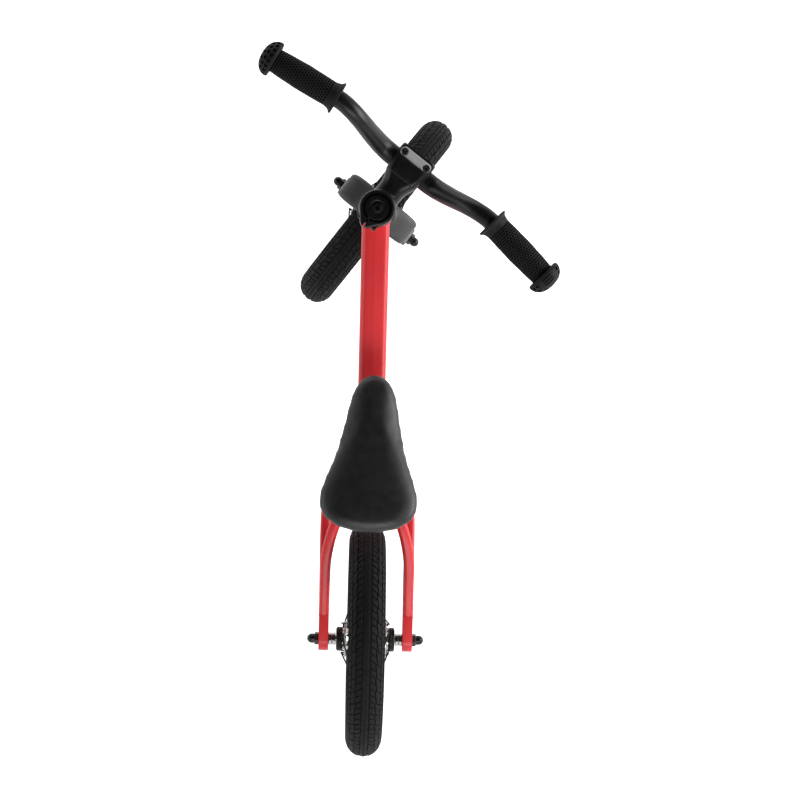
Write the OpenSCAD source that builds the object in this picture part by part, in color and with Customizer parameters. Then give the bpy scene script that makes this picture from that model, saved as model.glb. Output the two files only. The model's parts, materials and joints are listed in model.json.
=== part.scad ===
// Child's balance bike: two spoked wheels, a single-beam frame, a turned steering
// assembly and a padded saddle. Millimetres. +X is forward, +Y is the rider's left,
// +Z is up. The origin is on the ground under the rear axle, in the middle plane.

/* [Wheels] */
// Outside diameter of a tyre
wheel_d = 297; // [285:1:305]
// Width of a tyre
tyre_w = 46; // [40:1:48]
// Diameter on which the tyre beads sit
bead_seat_d = 203; // [200:1:205]
// Spokes in one wheel
spoke_count = 20; // [16:4:28]
// Radius of the circle of spoke holes in a hub flange
spoke_circle_r = 20; // [18:0.5:22]
// Distance between the middles of the two hub flanges
flange_gap = 51; // [46:1:54]
// Distance between the dropouts
hub_width = 94; // [92:1:100]
// Diameter of a wheel axle
axle_d = 8; // [8:0.5:9.5]

/* [Frame] */
// Distance between the two axles with the steering straight
wheelbase = 583; // [560:1:600]
// Lean of the steering axis from upright, in degrees
head_tilt = 19; // [16:0.5:22]
// Length of the head tube
head_tube_len = 100; // [90:1:110]
// Outside diameter of the head tube
head_tube_d = 42; // [40:0.5:46]
// Width of the main beam
beam_w = 34; // [30:1:38]
// Outside diameter of the seat tube
seat_tube_d = 32; // [31:0.5:34]
// Diameter of the seat post
seatpost_d = 25.4; // [25:0.1:27.2]
// Height of the top of the seat tube
seat_tube_top = 306; // [296:1:312]
// Thickness of a rear dropout
rear_dropout_t = 12.5; // [10:0.5:14]

/* [Fork and steering] */
// Angle that the steering is turned to the right, in degrees
steer_rest = 37.3; // [0:0.1:60]
// Offset of the front axle ahead of the steering axis
rake = 7; // [0:0.5:20]
// Width of the fork crown
crown_w = 105; // [98:1:110]
// Diameter of the steerer tube
steerer_d = 28.6; // [25.4:0.1:28.6]
// Thickness of a fork dropout
fork_dropout_t = 9.5; // [6:0.5:12]
// How far the fork crown sits ahead of the steering axis
crown_shift = 5.5; // [0:0.5:8]
// Distance from the steering axis to the middle of the handlebar
stem_reach = 62; // [50:1:75]
// Diameter of the handlebar in its clamp
bar_clamp_d = 25.4; // [25.4:0.1:31.8]
// Diameter of the handlebar at the grips
bar_d = 22.2; // [22.2:0.1:22.2]
// Height of the grips above the handlebar clamp
bar_rise = 55; // [30:1:70]
// Distance from the middle of the bike to the end of a grip
bar_half = 221; // [205:1:235]
// Length of a grip
grip_len = 105; // [95:1:115]

/* [Saddle] */
// Height of the top of the saddle
saddle_top = 388; // [375:1:395]
// Widest part of the saddle
saddle_w = 119; // [110:1:125]
// Turn of the saddle on its post, in degrees, positive to the left
saddle_turn = -2; // [-5:0.5:5]

/* [Hidden] */

$fn = 48;
running_gap = 0.05;
assembly_gap = 0.02;

red = [0.75, 0.18, 0.19];
fork_grey = [0.27, 0.27, 0.28];
plate_grey = [0.55, 0.55, 0.56];
satin_black = [0.07, 0.07, 0.07];
rubber_black = [0.12, 0.12, 0.12];
zinc = [0.72, 0.72, 0.70];

// ---- derived places
wheel_r = wheel_d / 2;
tyre_r = tyre_w / 2;
tyre_mid_r = wheel_r - tyre_r;
// how far the turned front wheel leans over, which lifts its lowest point
wheel_lean = sin(steer_rest) * sin(head_tilt);
foot_z = tyre_mid_r * sqrt(1 - wheel_lean * wheel_lean) + tyre_r
    - rake * cos(steer_rest) * sin(head_tilt);
foot_x = wheelbase - rake * cos(head_tilt);

// heights along the steering axis, from the foot of the wheel centre
crown_top = 186;
lower_cup_t = crown_top + 5;
cup_h = 10;
head_bottom = lower_cup_t + cup_h;
head_top = head_bottom + head_tube_len;
cover_t = head_top + cup_h + 0.5;
cover_h = 4.5;
spacer_h = 6;
stem_bottom = cover_t + cover_h + spacer_h;
stem_h = 46;
cap_seat_t = stem_bottom + 40;
bar_t = stem_bottom + 24;
steerer_r = steerer_d / 2;
bearing_r = 20.5;
bearing_bore_r = 15.1;
cup_r = 22.5;

seat_tube_len = 128;
seat_top_x = 210;

axle_r = axle_d / 2;
nut_flats = 14;
nut_r = nut_flats / sqrt(3);
dome_len = 9.5;
nut_base = 5;
hub_bearing_r = 11;
hub_bearing_w = 7;
hub_end = 37.2;
rim_floor_r = bead_seat_d / 2 - 2;
rim_inner_r = bead_seat_d / 2 - 9.5;
spoke_cross = 72;
spoke_r = 1;
half_spokes = spoke_count / 2;

// ---- places
module headed()
    translate([foot_x, 0, foot_z]) rotate([0, -head_tilt, 0]) children();
module steered()
    headed() rotate([0, 0, -steer_rest]) children();
module seated()
    translate([seat_top_x, 0, seat_tube_top]) rotate([0, -head_tilt, 0]) children();
module rear_wheel_place()
    translate([0, 0, wheel_r]) rotate([90, 0, 0]) children();
module front_wheel_place()
    steered() translate([rake, 0, 0]) rotate([90, 0, 0]) children();
module on_saddle()
    translate([seat_top_x - 14, 0, saddle_top]) rotate([0, 0, saddle_turn]) children();
module both_sides()
    for (side = [0, 1]) mirror([0, 0, side]) children();

// ---- sweeps
function unit(v) = v / norm(v);
function tangent(p, i) = unit(p[min(i + 1, len(p) - 1)] - p[max(i - 1, 0)]);
// a smooth curve through hand-picked points
function smooth_at(p, i, u) =
    let (a = p[max(i - 1, 0)], b = p[i], c = p[i + 1], d = p[min(i + 2, len(p) - 1)])
    0.5 * (2 * b + (c - a) * u + (2 * a - 5 * b + 4 * c - d) * u * u
        + (3 * b - a - 3 * c + d) * u * u * u);
function smooth(p, steps) = [for (i = [0 : len(p) - 2], s = [0 : steps - 1])
    smooth_at(p, i, s / steps), p[len(p) - 1]];
// outline of a rounded rectangle, with four points on each corner
function rounded(w, h, r) = [for (corner = [0 : 3], step = [0 : 3])
    let (a = corner * 90 + step * 30,
        sx = (corner == 0 || corner == 3) ? 1 : -1,
        sy = corner < 2 ? 1 : -1)
    [sx * (w / 2 - r) + r * cos(a), sy * (h / 2 - r) + r * sin(a)]];
function round_section(r, sides) = [for (i = [0 : sides - 1])
    [r * cos(i * 360 / sides), r * sin(i * 360 / sides)]];
// one ring of a sweep: a section set across the path at point i
function ring(p, i, section, up) =
    let (t = tangent(p, i), side = unit(cross(up, t)), rise = cross(t, side))
    [for (q = section) p[i] + side * q[0] + rise * q[1]];
module sweep(path, sections, up) {
    n = len(sections[0]);
    rings = len(path);
    points = [for (i = [0 : rings - 1]) each ring(path, i, sections[i], up)];
    walls = [for (i = [0 : rings - 2], j = [0 : n - 1])
        let (k = (j + 1) % n)
        each [[i * n + j, (i + 1) * n + k, i * n + k],
            [i * n + j, (i + 1) * n + j, (i + 1) * n + k]]];
    first = [for (j = [0 : n - 1]) j];
    last = [for (j = [n - 1 : -1 : 0]) (rings - 1) * n + j];
    polyhedron(points, [each walls, first, last]);
}
// a tube with a rounded box section: each station is [x, y, z, width, height]
module box_tube(stations, steps, corner) {
    dense = smooth(stations, steps);
    path = [for (s = dense) [s[0], s[1], s[2]]];
    sections = [for (s = dense) rounded(s[3], s[4], corner)];
    sweep(path, sections, [0, 0, 1]);
}
// a straight round rod between two points
module rod(a, b, r) {
    d = b - a;
    translate(a) rotate([0, acos(d[2] / norm(d)), atan2(d[1], d[0])])
        cylinder(h = norm(d), r = r);
}
module tube(r_out, r_in, h)
    difference() {
        cylinder(h = h, r = r_out);
        translate([0, 0, -1]) cylinder(h = h + 2, r = r_in);
    }

// ---- frame
module seat_tube_bore(r)
    seated() translate([0, 0, -seat_tube_len - 20]) cylinder(h = seat_tube_len + 60, r = r);

module head_tube()
    color(red) headed() translate([0, 0, head_bottom])
        tube(head_tube_d / 2, 17, head_tube_len);

beam_front_t = head_bottom + 57;
module main_beam()
    color(red) difference() {
        box_tube([
            [foot_x - beam_front_t * sin(head_tilt), 0,
                foot_z + beam_front_t * cos(head_tilt), beam_w, 56],
            [430, 0, 362, beam_w, 50],
            [330, 0, 315.5, beam_w, 44],
            [seat_top_x + 12, 0, seat_tube_top - 40, beam_w, 38]], 4, 7);
        headed() translate([0, 0, head_bottom - 40])
            cylinder(h = head_tube_len + 80, r = head_tube_d / 2 + assembly_gap);
        seat_tube_bore(seat_tube_d / 2 + assembly_gap);
        translate([seat_top_x - 60, -beam_w, seat_tube_top - 120])
            cube([60 + 11, 2 * beam_w, 120]);
    }

module seat_tube()
    color(red) seated() difference() {
        translate([0, 0, -seat_tube_len])
            tube(seat_tube_d / 2, seatpost_d / 2 + running_gap, seat_tube_len);
        translate([-seat_tube_d, -1, -28]) cube([seat_tube_d, 2, 40]);
    }

dropout_mid_y = hub_width / 2 + rear_dropout_t / 2;
dropout_fan = 36;
chain_rise = 8.5;
seat_rise = 36;
module rear_dropout()
    translate([0, hub_width / 2 + rear_dropout_t, wheel_r]) rotate([90, 0, 0])
        difference() {
            linear_extrude(rear_dropout_t) hull() {
                circle(r = 15);
                rotate(chain_rise) translate([dropout_fan - 1, -9.5]) square([1, 19]);
                rotate(seat_rise) translate([dropout_fan - 1, -8]) square([1, 16]);
            }
            translate([0, 0, -1]) cylinder(h = rear_dropout_t + 2, r = axle_r + assembly_gap);
            rotate(-82) translate([0, -axle_r - assembly_gap, -1])
                cube([30, 2 * (axle_r + assembly_gap), rear_dropout_t + 2]);
        }

module chain_stay() {
    difference() {
        box_tube([
            [cos(chain_rise) * dropout_fan, dropout_mid_y, wheel_r + sin(chain_rise) * dropout_fan,
                12.5, 19],
            [85, 53.6, 161, 13.4, 20],
            [150, 53.6, 170.5, 13.4, 20],
            [180, 50, 176, 13.4, 20],
            [210, 38, 182, 13.4, 20],
            [232, 23, 187, 13, 20],
            [247, 10, 190, 12, 20]], 3, 4);
        seat_tube_bore(seat_tube_d / 2 + assembly_gap);
    }
    rear_dropout();
}
module seat_stay()
    difference() {
        box_tube([
            [cos(seat_rise) * dropout_fan, dropout_mid_y + 0.2,
                wheel_r + sin(seat_rise) * dropout_fan, 12.5, 15],
            [60, 53, 192.5, 13, 15],
            [85, 52.4, 211, 13.4, 15],
            [105, 49, 225.5, 13.4, 15],
            [125, 42.6, 238.5, 13, 15],
            [152, 31, 252, 12, 15],
            [184, 18, 268, 12, 15],
            [216, 9.5, 283, 12, 15]], 3, 4);
        seat_tube_bore(seat_tube_d / 2 + assembly_gap);
        translate([0, -6, 0]) cube([400, 6.5, 400]);
    }
module chain_stay_left() color(red) chain_stay();
module chain_stay_right() color(red) mirror([0, 1, 0]) chain_stay();
module seat_stay_left() color(red) seat_stay();
module seat_stay_right() color(red) mirror([0, 1, 0]) seat_stay();

collar_h = 13;
collar_r = 20;
module seat_collar()
    color(satin_black) seated() translate([0, 0, -collar_h + 2]) difference() {
        union() {
            cylinder(h = collar_h, r = collar_r);
            translate([-collar_r - 8, -6.5, 0]) cube([16, 13, collar_h]);
        }
        translate([0, 0, -1]) cylinder(h = collar_h - 1, r = seat_tube_d / 2 + assembly_gap);
        translate([0, 0, -1]) cylinder(h = collar_h + 2, r = seatpost_d / 2 + 0.4);
        translate([-collar_r - 12, -1, -1]) cube([collar_r, 2, collar_h + 2]);
        translate([-collar_r - 3, 0, collar_h / 2]) rotate([90, 0, 0])
            translate([0, 0, -10]) cylinder(h = 20, r = 2.55);
    }
module seat_collar_bolt()
    color(zinc) seated() translate([-collar_r - 3, 0, -collar_h / 2 + 2]) rotate([90, 0, 0])
        difference() {
            union() {
                translate([0, 0, -9]) cylinder(h = 16, r = 2.5);
                translate([0, 0, 6.55]) cylinder(h = 5, r = 4.3);
            }
            translate([0, 0, 8.5]) cylinder(h = 4, r = 2.3, $fn = 6);
        }

// ---- headset
module cup(bearing_side)
    difference() {
        union() {
            cylinder(h = cup_h, r = cup_r);
            translate([0, 0, cup_h]) cylinder(h = 8, r = 17 - assembly_gap);
        }
        translate([0, 0, -1]) cylinder(h = cup_h + 10, r = steerer_r + 1);
        translate([0, 0, -1]) cylinder(h = 8.5, r = bearing_r + assembly_gap);
    }
module lower_cup()
    color(satin_black) headed() translate([0, 0, lower_cup_t]) cup();
module upper_cup()
    color(satin_black) headed() translate([0, 0, head_top + cup_h]) mirror([0, 0, 1]) cup();
module headset_bearings()
    color(zinc) headed() {
        translate([0, 0, lower_cup_t + 0.5]) tube(bearing_r, bearing_bore_r, 6.8);
        translate([0, 0, head_top + cup_h - 7.3]) tube(bearing_r, bearing_bore_r, 6.8);
    }
module crown_race()
    color(zinc) steered() translate([0, 0, crown_top]) difference() {
        union() {
            cylinder(h = 4, r = 19.5);
            cylinder(h = 11, r = bearing_bore_r - running_gap);
        }
        translate([0, 0, -1]) cylinder(h = 14, r = steerer_r + assembly_gap);
    }
module headset_cover()
    color(satin_black) steered() translate([0, 0, cover_t]) difference() {
        union() {
            cylinder(h = 2, r = 22.3);
            translate([0, 0, 2]) cylinder(h = cover_h - 2, r1 = 22.3, r2 = 18.5);
            translate([0, 0, -6.5]) cylinder(h = 7, r = bearing_bore_r - running_gap);
        }
        translate([0, 0, -8]) cylinder(h = 16, r = steerer_r + assembly_gap);
    }
module spacer()
    color(satin_black) steered() translate([0, 0, cover_t + cover_h])
        tube(17.5, steerer_r + assembly_gap, spacer_h);

// ---- fork
module steerer_tube()
    color(fork_grey) steered() translate([0, 0, 158])
        tube(steerer_r, 11.5, cap_seat_t - 3 - 158);
crown_boss_r = 20.5;
module crown_slab(x, y, t, h, r)
    translate([crown_shift, 0, t]) linear_extrude(h) offset(r) square([x - 2 * r, y - 2 * r], center = true);
module fork_crown()
    color(fork_grey) steered() difference() {
        union() {
            hull() {
                translate([0, 0, crown_top - 3]) cylinder(h = 2, r = crown_boss_r);
                crown_slab(30, 52, crown_top - 3, 2, 12);
                crown_slab(38, crown_w - 18, 170, 8, 8);
                crown_slab(34, crown_w, 152, 13, 5);
            }
            translate([0, 0, 152]) cylinder(h = crown_top - 152, r = crown_boss_r);
        }
        translate([0, 0, 158]) cylinder(h = 60, r = steerer_r + assembly_gap);
        translate([-40, -31, 100]) cube([80, 62, 57.5]);
        cylinder(h = 400, r = 11);
        translate([0, 0, crown_top - 1]) cylinder(h = 20, r = 60);
    }
leg_out_y = hub_width / 2 + fork_dropout_t;
module fork_leg()
    difference() {
        union() {
            sweep_leg();
            translate([rake, leg_out_y, 0]) rotate([90, 0, 0])
                linear_extrude(fork_dropout_t) hull() {
                    circle(r = 13);
                    translate([-11, 22]) square([22, 1]);
                }
        }
        translate([rake, leg_out_y + 1, 0]) rotate([90, 0, 0])
            cylinder(h = fork_dropout_t + 2, r = axle_r + assembly_gap);
        translate([rake - axle_r - assembly_gap, hub_width / 2 - 1, -30])
            cube([2 * (axle_r + assembly_gap), fork_dropout_t + 2, 30]);
    }
module sweep_leg() {
    stations = smooth([
        [rake, leg_out_y - fork_dropout_t / 2, 18, 22, fork_dropout_t - 0.1],
        [rake, leg_out_y - 5.6, 32, 23, 10.6],
        [rake - 1, leg_out_y - 9, 80, 26, 14],
        [crown_shift + 0.3, leg_out_y - 12.3, 125, 31, 18.5],
        [crown_shift, crown_w / 2 - 9.6, 151.95, 32.5, 19]], 4);
    sweep([for (s = stations) [s[0], s[1], s[2]]],
        [for (s = stations) rounded(s[3], s[4], min(6, s[4] / 2 - 0.4))], [0, 1, 0]);
}
module fork_leg_left() color(fork_grey) steered() fork_leg();
module fork_leg_right() color(fork_grey) steered() mirror([0, 1, 0]) fork_leg();
module star_nut()
    color(zinc) steered() translate([0, 0, cap_seat_t - 30]) tube(11.5 - assembly_gap, 3.05, 8);

// ---- stem
barrel_r = 19.5;
barrel_w = 49;
// the clamp is closed behind the bar and slit in front of it, where two bolts draw it up;
// they lean back, and a lens-shaped plate under their heads spreads their load
clamp_back = -18;
clamp_front = 21;
clamp_lean = 15;
clamp_bolt_x = 15.7;
bolt_spread = 16.4;
plate_seat = 10.4;
plate_t = 4.6;
module steered_bar()
    steered() translate([stem_reach, 0, bar_t]) children();
module clamp_block()
    rotate([90, 0, 0]) linear_extrude(barrel_w, center = true)
        translate([(clamp_back + clamp_front) / 2, 0]) offset(8)
            square([clamp_front - clamp_back - 16, 2 * barrel_r - 16], center = true);
module leaning() rotate([0, -clamp_lean, 0]) children();
module at_clamp_bolts()
    for (y = [-bolt_spread, bolt_spread])
        translate([0, y, 0]) leaning() translate([clamp_bolt_x, 0, 0]) children();
module lens(grow)
    hull() {
        for (y = [-bolt_spread, bolt_spread]) translate([clamp_bolt_x + 0.4, y])
            circle(r = 5.4 + grow);
        for (y = [-8, 8]) translate([clamp_bolt_x - 3.1, y]) circle(r = 2 + grow);
        translate([clamp_bolt_x - 3.6, 0]) circle(r = 2 + grow);
    }
pinch_x = -20.5;
module at_pinch_bolts()
    for (z = [11, 33]) translate([pinch_x, 0, stem_bottom + z]) rotate([90, 0, 0]) children();
module stem_body()
    color(satin_black) steered() difference() {
        union() {
            translate([0, 0, stem_bottom]) cylinder(h = stem_h, r = 22);
            translate([0, 0, stem_bottom]) linear_extrude(stem_h)
                polygon([[0, -21], [-14, -16], [-27, -5], [-29, 0], [-27, 5], [-14, 16], [0, 21]]);
            translate([0, 0, bar_t]) rotate([0, 90, 0])
                cylinder(h = stem_reach - 15, r = 17);
            translate([stem_reach, 0, bar_t]) clamp_block();
        }
        translate([0, 0, stem_bottom - 1]) cylinder(h = stem_h + 2, r = steerer_r + assembly_gap);
        translate([0, 0, cap_seat_t]) cylinder(h = 30, r = 17.5);
        translate([-40, -1, stem_bottom - 1]) cube([40, 2, stem_h + 2]);
        translate([stem_reach, 0, bar_t]) {
            rotate([90, 0, 0]) translate([0, 0, -40])
                cylinder(h = 80, r = bar_clamp_d / 2 + assembly_gap);
            leaning() {
                translate([9, -40, -1]) cube([40, 80, 2]);
                translate([0, 0, plate_seat]) linear_extrude(30) hull() {
                    lens(0.15);
                    translate([clamp_bolt_x + 20, 0]) square([1, 50], center = true);
                }
            }
            at_clamp_bolts() translate([0, 0, -14]) cylinder(h = 30, r = 2.52);
        }
        at_pinch_bolts() translate([0, 0, -20]) cylinder(h = 40, r = 2.52);
        at_pinch_bolts() translate([0, 0, 10]) cylinder(h = 10, r = 4.7);
        at_pinch_bolts() translate([0, 0, -20]) cylinder(h = 10, r = 4.7);
    }
module clamp_plate()
    color(plate_grey) steered_bar() difference() {
        leaning() translate([0, 0, plate_seat + assembly_gap]) linear_extrude(plate_t) lens(0);
        at_clamp_bolts() translate([0, 0, -20]) cylinder(h = 60, r = 2.6);
        at_clamp_bolts() translate([0, 0, plate_seat + 1]) cylinder(h = 30, r = 4.6);
    }
module clamp_bolts()
    color(satin_black) steered_bar() at_clamp_bolts() difference() {
        union() {
            translate([0, 0, -13]) cylinder(h = 25, r = 2.5);
            translate([0, 0, plate_seat + 1.05]) cylinder(h = 2.8, r = 4.3);
        }
        translate([0, 0, plate_seat + 2.1]) cylinder(h = 4, r = 2.3, $fn = 6);
    }
module pinch_bolts()
    color(satin_black) steered() at_pinch_bolts() difference() {
        union() {
            translate([0, 0, -12]) cylinder(h = 23, r = 2.5);
            translate([0, 0, 10.05]) cylinder(h = 4.5, r = 4.3);
        }
        translate([0, 0, 12.3]) cylinder(h = 4, r = 2.3, $fn = 6);
    }
module top_cap()
    color(satin_black) steered() translate([0, 0, cap_seat_t + 0.02]) difference() {
        cylinder(h = 3.2, r = 16.5);
        translate([0, 0, -1]) cylinder(h = 6, r = 3.1);
    }
module top_cap_bolt()
    color(satin_black) steered() translate([0, 0, cap_seat_t + 3.24]) difference() {
        union() {
            cylinder(h = 3, r = 5);
            translate([0, 0, -32]) cylinder(h = 33, r = 3);
        }
        translate([0, 0, 0.8]) cylinder(h = 4, r = 2.6, $fn = 6);
    }

// ---- handlebar and grips
grip_sweep = 7.4;
grip_start = bar_half - grip_len * cos(grip_sweep);
grip_x = 8.6;
bar_end = grip_len - 8;
// half of the handlebar, from its middle outwards: [forward, sideways, up]
// straight in the clamp and again under the grips
bar_half_path = [[0, 0, 0], [0, 25, 0], [0, 29, 0], [0.6, 42, 0.06 * bar_rise],
    [3, 62, 0.4 * bar_rise], [6, 80, 0.77 * bar_rise], [8.2, 96, 0.95 * bar_rise],
    [grip_x + 5 * sin(grip_sweep), grip_start - 5 * cos(grip_sweep), bar_rise],
    [grip_x, grip_start, bar_rise],
    [grip_x - 45 * sin(grip_sweep), grip_start + 45 * cos(grip_sweep), bar_rise],
    [grip_x - bar_end * sin(grip_sweep), grip_start + bar_end * cos(grip_sweep), bar_rise]];
function mirrored(p) = [for (i = [len(p) - 1 : -1 : 1]) [p[i][0], -p[i][1], p[i][2]]];
function bar_r_at(y) = abs(y) < 32 ? bar_clamp_d / 2
    : abs(y) > 80 ? bar_d / 2 : bar_clamp_d / 2 - (bar_clamp_d - bar_d) / 2 * (abs(y) - 32) / 48;
function beyond(p, d) = p[len(p) - 1] + unit(p[len(p) - 1] - p[len(p) - 2]) * d;
module handlebar() {
    half = smooth(bar_half_path, 3);
    longer = concat(half, [beyond(half, 6)]);
    path = concat(mirrored(half), half);
    bore_path = concat(mirrored(longer), longer);
    color(satin_black) steered_bar() difference() {
        sweep(path, [for (p = path) round_section(bar_r_at(p[1]), 20)], [1, 0, 0]);
        sweep(bore_path, [for (p = bore_path) round_section(bar_r_at(p[1]) - 2.2, 12)],
            [1, 0, 0]);
    }
}
// outline of a grip: [along the bar, radius]
dome_at = grip_len - 18;
grip_outline = [[0, 11.2], [0, 20.3], [2.4, 20.3], [4.2, 18], [7, 16.6], [12, 15.8],
    [28, 16.1], [48, 16.4], [68, 15.7], [dome_at, 14.8], [dome_at, 21.4],
    [dome_at + 2.2, 22.2], [dome_at + 6, 21.6], [dome_at + 10, 19.8], [dome_at + 14, 15.9],
    [dome_at + 16.5, 11], [grip_len, 3], [grip_len, 0], [bar_end + 1, 0],
    [bar_end + 1, 11.2]];
module grip()
    translate([grip_x, grip_start, bar_rise]) rotate([-90, 0, grip_sweep])
        rotate_extrude() polygon([for (p = grip_outline) [p[1], p[0]]]);
module grip_left() color(rubber_black) steered_bar() grip();
module grip_right() color(rubber_black) steered_bar() mirror([0, 1, 0]) grip();

// ---- saddle
rail_z = -52;
rail_y = 21;
module rail_grooves()
    for (y = [-rail_y, rail_y]) translate([-30, y, 0]) rotate([0, 90, 0])
        cylinder(h = 60, r = 3.55);
module seatpost()
    color(satin_black) difference() {
        union() {
            seated() translate([0, 0, -100]) cylinder(h = 122, r = seatpost_d / 2);
            on_saddle() translate([0, 0, rail_z]) {
                translate([-11, -27, -8]) cube([22, 54, 7.8]);
                rod([9, 0, -20], [4, 0, -5], 11);
            }
        }
        seated() translate([0, 0, -101]) cylinder(h = 101, r = 10.7);
        on_saddle() translate([0, 0, rail_z]) {
            rail_grooves();
            translate([0, 0, -14]) cylinder(h = 40, r = 3.05);
        }
    }
module saddle_clamp()
    color(satin_black) on_saddle() translate([0, 0, rail_z]) difference() {
        translate([-11, -27, 0.2]) cube([22, 54, 6]);
        rail_grooves();
        translate([0, 0, -1]) cylinder(h = 20, r = 3.05);
    }
module saddle_clamp_bolt()
    color(zinc) on_saddle() translate([0, 0, rail_z]) {
        translate([0, 0, -13.5]) cylinder(h = 20, r = 3);
        translate([0, 0, 6.25]) cylinder(h = 3, r = 5.4, $fn = 6);
    }
module saddle_rails() {
    path = smooth([[76, 6, -34], [60, 9, -38], [40, 17, -48], [28, rail_y, rail_z],
        [13, rail_y, rail_z], [-13, rail_y, rail_z], [-28, rail_y, rail_z],
        [-46, rail_y + 3, -48],
        [-66, rail_y + 8, -38], [-80, rail_y + 10, -33.5]], 3);
    sections = [for (p = path) round_section(3.5, 12)];
    color(zinc) on_saddle() {
        sweep(path, sections, [0, 0, 1]);
        mirror([0, 1, 0]) sweep(path, sections, [0, 0, 1]);
    }
}
tail_r = 37;
tail_x = -74;
nose_r = 24;
nose_x = 63;
module saddle_outline(inset)
    hull() {
        translate([nose_x, 0]) circle(r = nose_r - inset);
        for (y = [-1, 1]) translate([tail_x, y * (saddle_w / 2 - tail_r)])
            circle(r = tail_r - inset);
    }
module saddle_slab(z, h, inset)
    translate([0, 0, z]) linear_extrude(h) saddle_outline(inset);
module saddle_base()
    color(satin_black) on_saddle() difference() {
        saddle_slab(-34, 5, 5);
        saddle_rail_sockets();
    }
module saddle_rail_sockets()
    for (y = [-1, 1]) {
        translate([76, y * 6, -40]) cylinder(h = 8, r = 4.2);
        translate([-80, y * (rail_y + 10), -40]) cylinder(h = 8, r = 4.2);
    }
module saddle_cover()
    color(rubber_black) on_saddle() hull() {
        saddle_slab(-28.7, 1, 4);
        saddle_slab(-20, 1, 0);
        saddle_slab(-8, 1, 5);
        saddle_slab(-1, 1, 17);
    }

// ---- hub fittings, in a frame whose Z lies along the axle
module axle(half)
    translate([0, 0, -half]) cylinder(h = 2 * half, r = axle_r);
module hex_nut(z, h)
    translate([0, 0, z]) difference() {
        cylinder(h = h, r = nut_r, $fn = 6);
        translate([0, 0, -1]) cylinder(h = h + 2, r = axle_r + assembly_gap);
    }
module cone_nuts()
    both_sides() {
        hex_nut(hub_end + 0.6, 4.2);
        hex_nut(hub_width / 2 - 4.55, 4.5);
    }
module cap_nut(z)
    translate([0, 0, z]) difference() {
        union() {
            cylinder(h = nut_base, r = nut_r, $fn = 6);
            cylinder(h = nut_base + dome_len - 6, r = 6);
            translate([0, 0, nut_base + dome_len - 6]) sphere(r = 6);
        }
        translate([0, 0, -1]) cylinder(h = 12, r = axle_r + assembly_gap);
        translate([0, 0, -10]) cylinder(h = 10, r = 12);
    }
rear_nut_z = hub_width / 2 + rear_dropout_t + 0.05;
front_nut_z = hub_width / 2 + fork_dropout_t + 0.05;
module rear_axle() color(zinc) rear_wheel_place() axle(rear_nut_z + 9);
module rear_cone_nuts() color(zinc) rear_wheel_place() cone_nuts();
module rear_cap_nuts() color(satin_black) rear_wheel_place() both_sides() cap_nut(rear_nut_z);
module front_axle() color(zinc) front_wheel_place() axle(front_nut_z + 9);
module front_cone_nuts() color(zinc) front_wheel_place() cone_nuts();
module front_cap_nuts() color(satin_black) front_wheel_place() both_sides() cap_nut(front_nut_z);

// ---- wheel pieces, in the same axle frame
function polar(r, a, z) = [r * cos(a), r * sin(a), z];
// where spoke i of one side leaves the hub and where it meets the rim
function leads(i) = i % 2 == 0 ? 1 : -1;
// how far from the middle of its flange a spoke turns: one that leaves on the outer side
// has to clear the flange's edge on its way in to the rim
outer_bend = 4.9;
inner_bend = 2.7;
flange_t = 2.4;
flange_edge = 2.8;
function hub_angle(i, side) = i * 360 / half_spokes + (side > 0 ? 0 : 180 / half_spokes);
function bend(i, side) = polar(spoke_circle_r, hub_angle(i, side),
    side * (flange_gap / 2 + (leads(i) > 0 ? outer_bend : -inner_bend)));
function seat(i, side) = polar(rim_floor_r - 0.5, hub_angle(i, side) + leads(i) * spoke_cross,
    side * 2.5);
module each_spoke()
    for (side = [-1, 1], i = [0 : half_spokes - 1]) {
        $bend = bend(i, side);
        $seat = seat(i, side);
        $way = unit(seat(i, side) - bend(i, side));
        $head = polar(spoke_circle_r, hub_angle(i, side),
            side * (flange_gap / 2 - leads(i) * 2.9));
        $out = unit($bend - $head);
        children();
    }
module tyre()
    rotate_extrude($fn = 96) difference() {
        union() {
            translate([tyre_mid_r, 0]) circle(r = tyre_r);
            translate([bead_seat_d / 2, -10]) square([8, 20]);
        }
        translate([tyre_mid_r, 0]) circle(r = tyre_r - 3.2);
        translate([bead_seat_d / 2 - 2, -7]) square([12, 14]);
        // room for the two edges of the rim
        for (side = [-1, 1])
            translate([bead_seat_d / 2 + 1.65, side * 12.5]) square([7.3, 5], center = true);
    }
module inner_tube()
    rotate_extrude($fn = 96) translate([tyre_mid_r, 0]) difference() {
        circle(r = tyre_r - 3.4);
        circle(r = tyre_r - 4.8);
    }
module rim()
    difference() {
        rotate_extrude($fn = 96) polygon([
            [rim_inner_r, -5], [rim_inner_r, 5], [rim_inner_r + 3.5, 12.5],
            [bead_seat_d / 2 + 5.2, 12.5], [bead_seat_d / 2 + 5.2, 10.1],
            [bead_seat_d / 2 - 0.1, 10.1], [bead_seat_d / 2 - 0.1, 6.5],
            [rim_floor_r, 5.5], [rim_floor_r, -5.5], [bead_seat_d / 2 - 0.1, -6.5],
            [bead_seat_d / 2 - 0.1, -10.1], [bead_seat_d / 2 + 5.2, -10.1],
            [bead_seat_d / 2 + 5.2, -12.5], [rim_inner_r + 3.5, -12.5]]);
        each_spoke() rod($seat - $way * 14, $seat + $way * 6, 2.3);
        valve_place() translate([0, 0, -4]) cylinder(h = 40, r = 4.2);
    }
module spokes()
    each_spoke() {
        rod($bend, $seat, spoke_r);
        rod($head, $bend + $out * 0.6, spoke_r);
        rod($head + $out * 0.6, $head - $out * 0.6, 1.8);
    }
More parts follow.
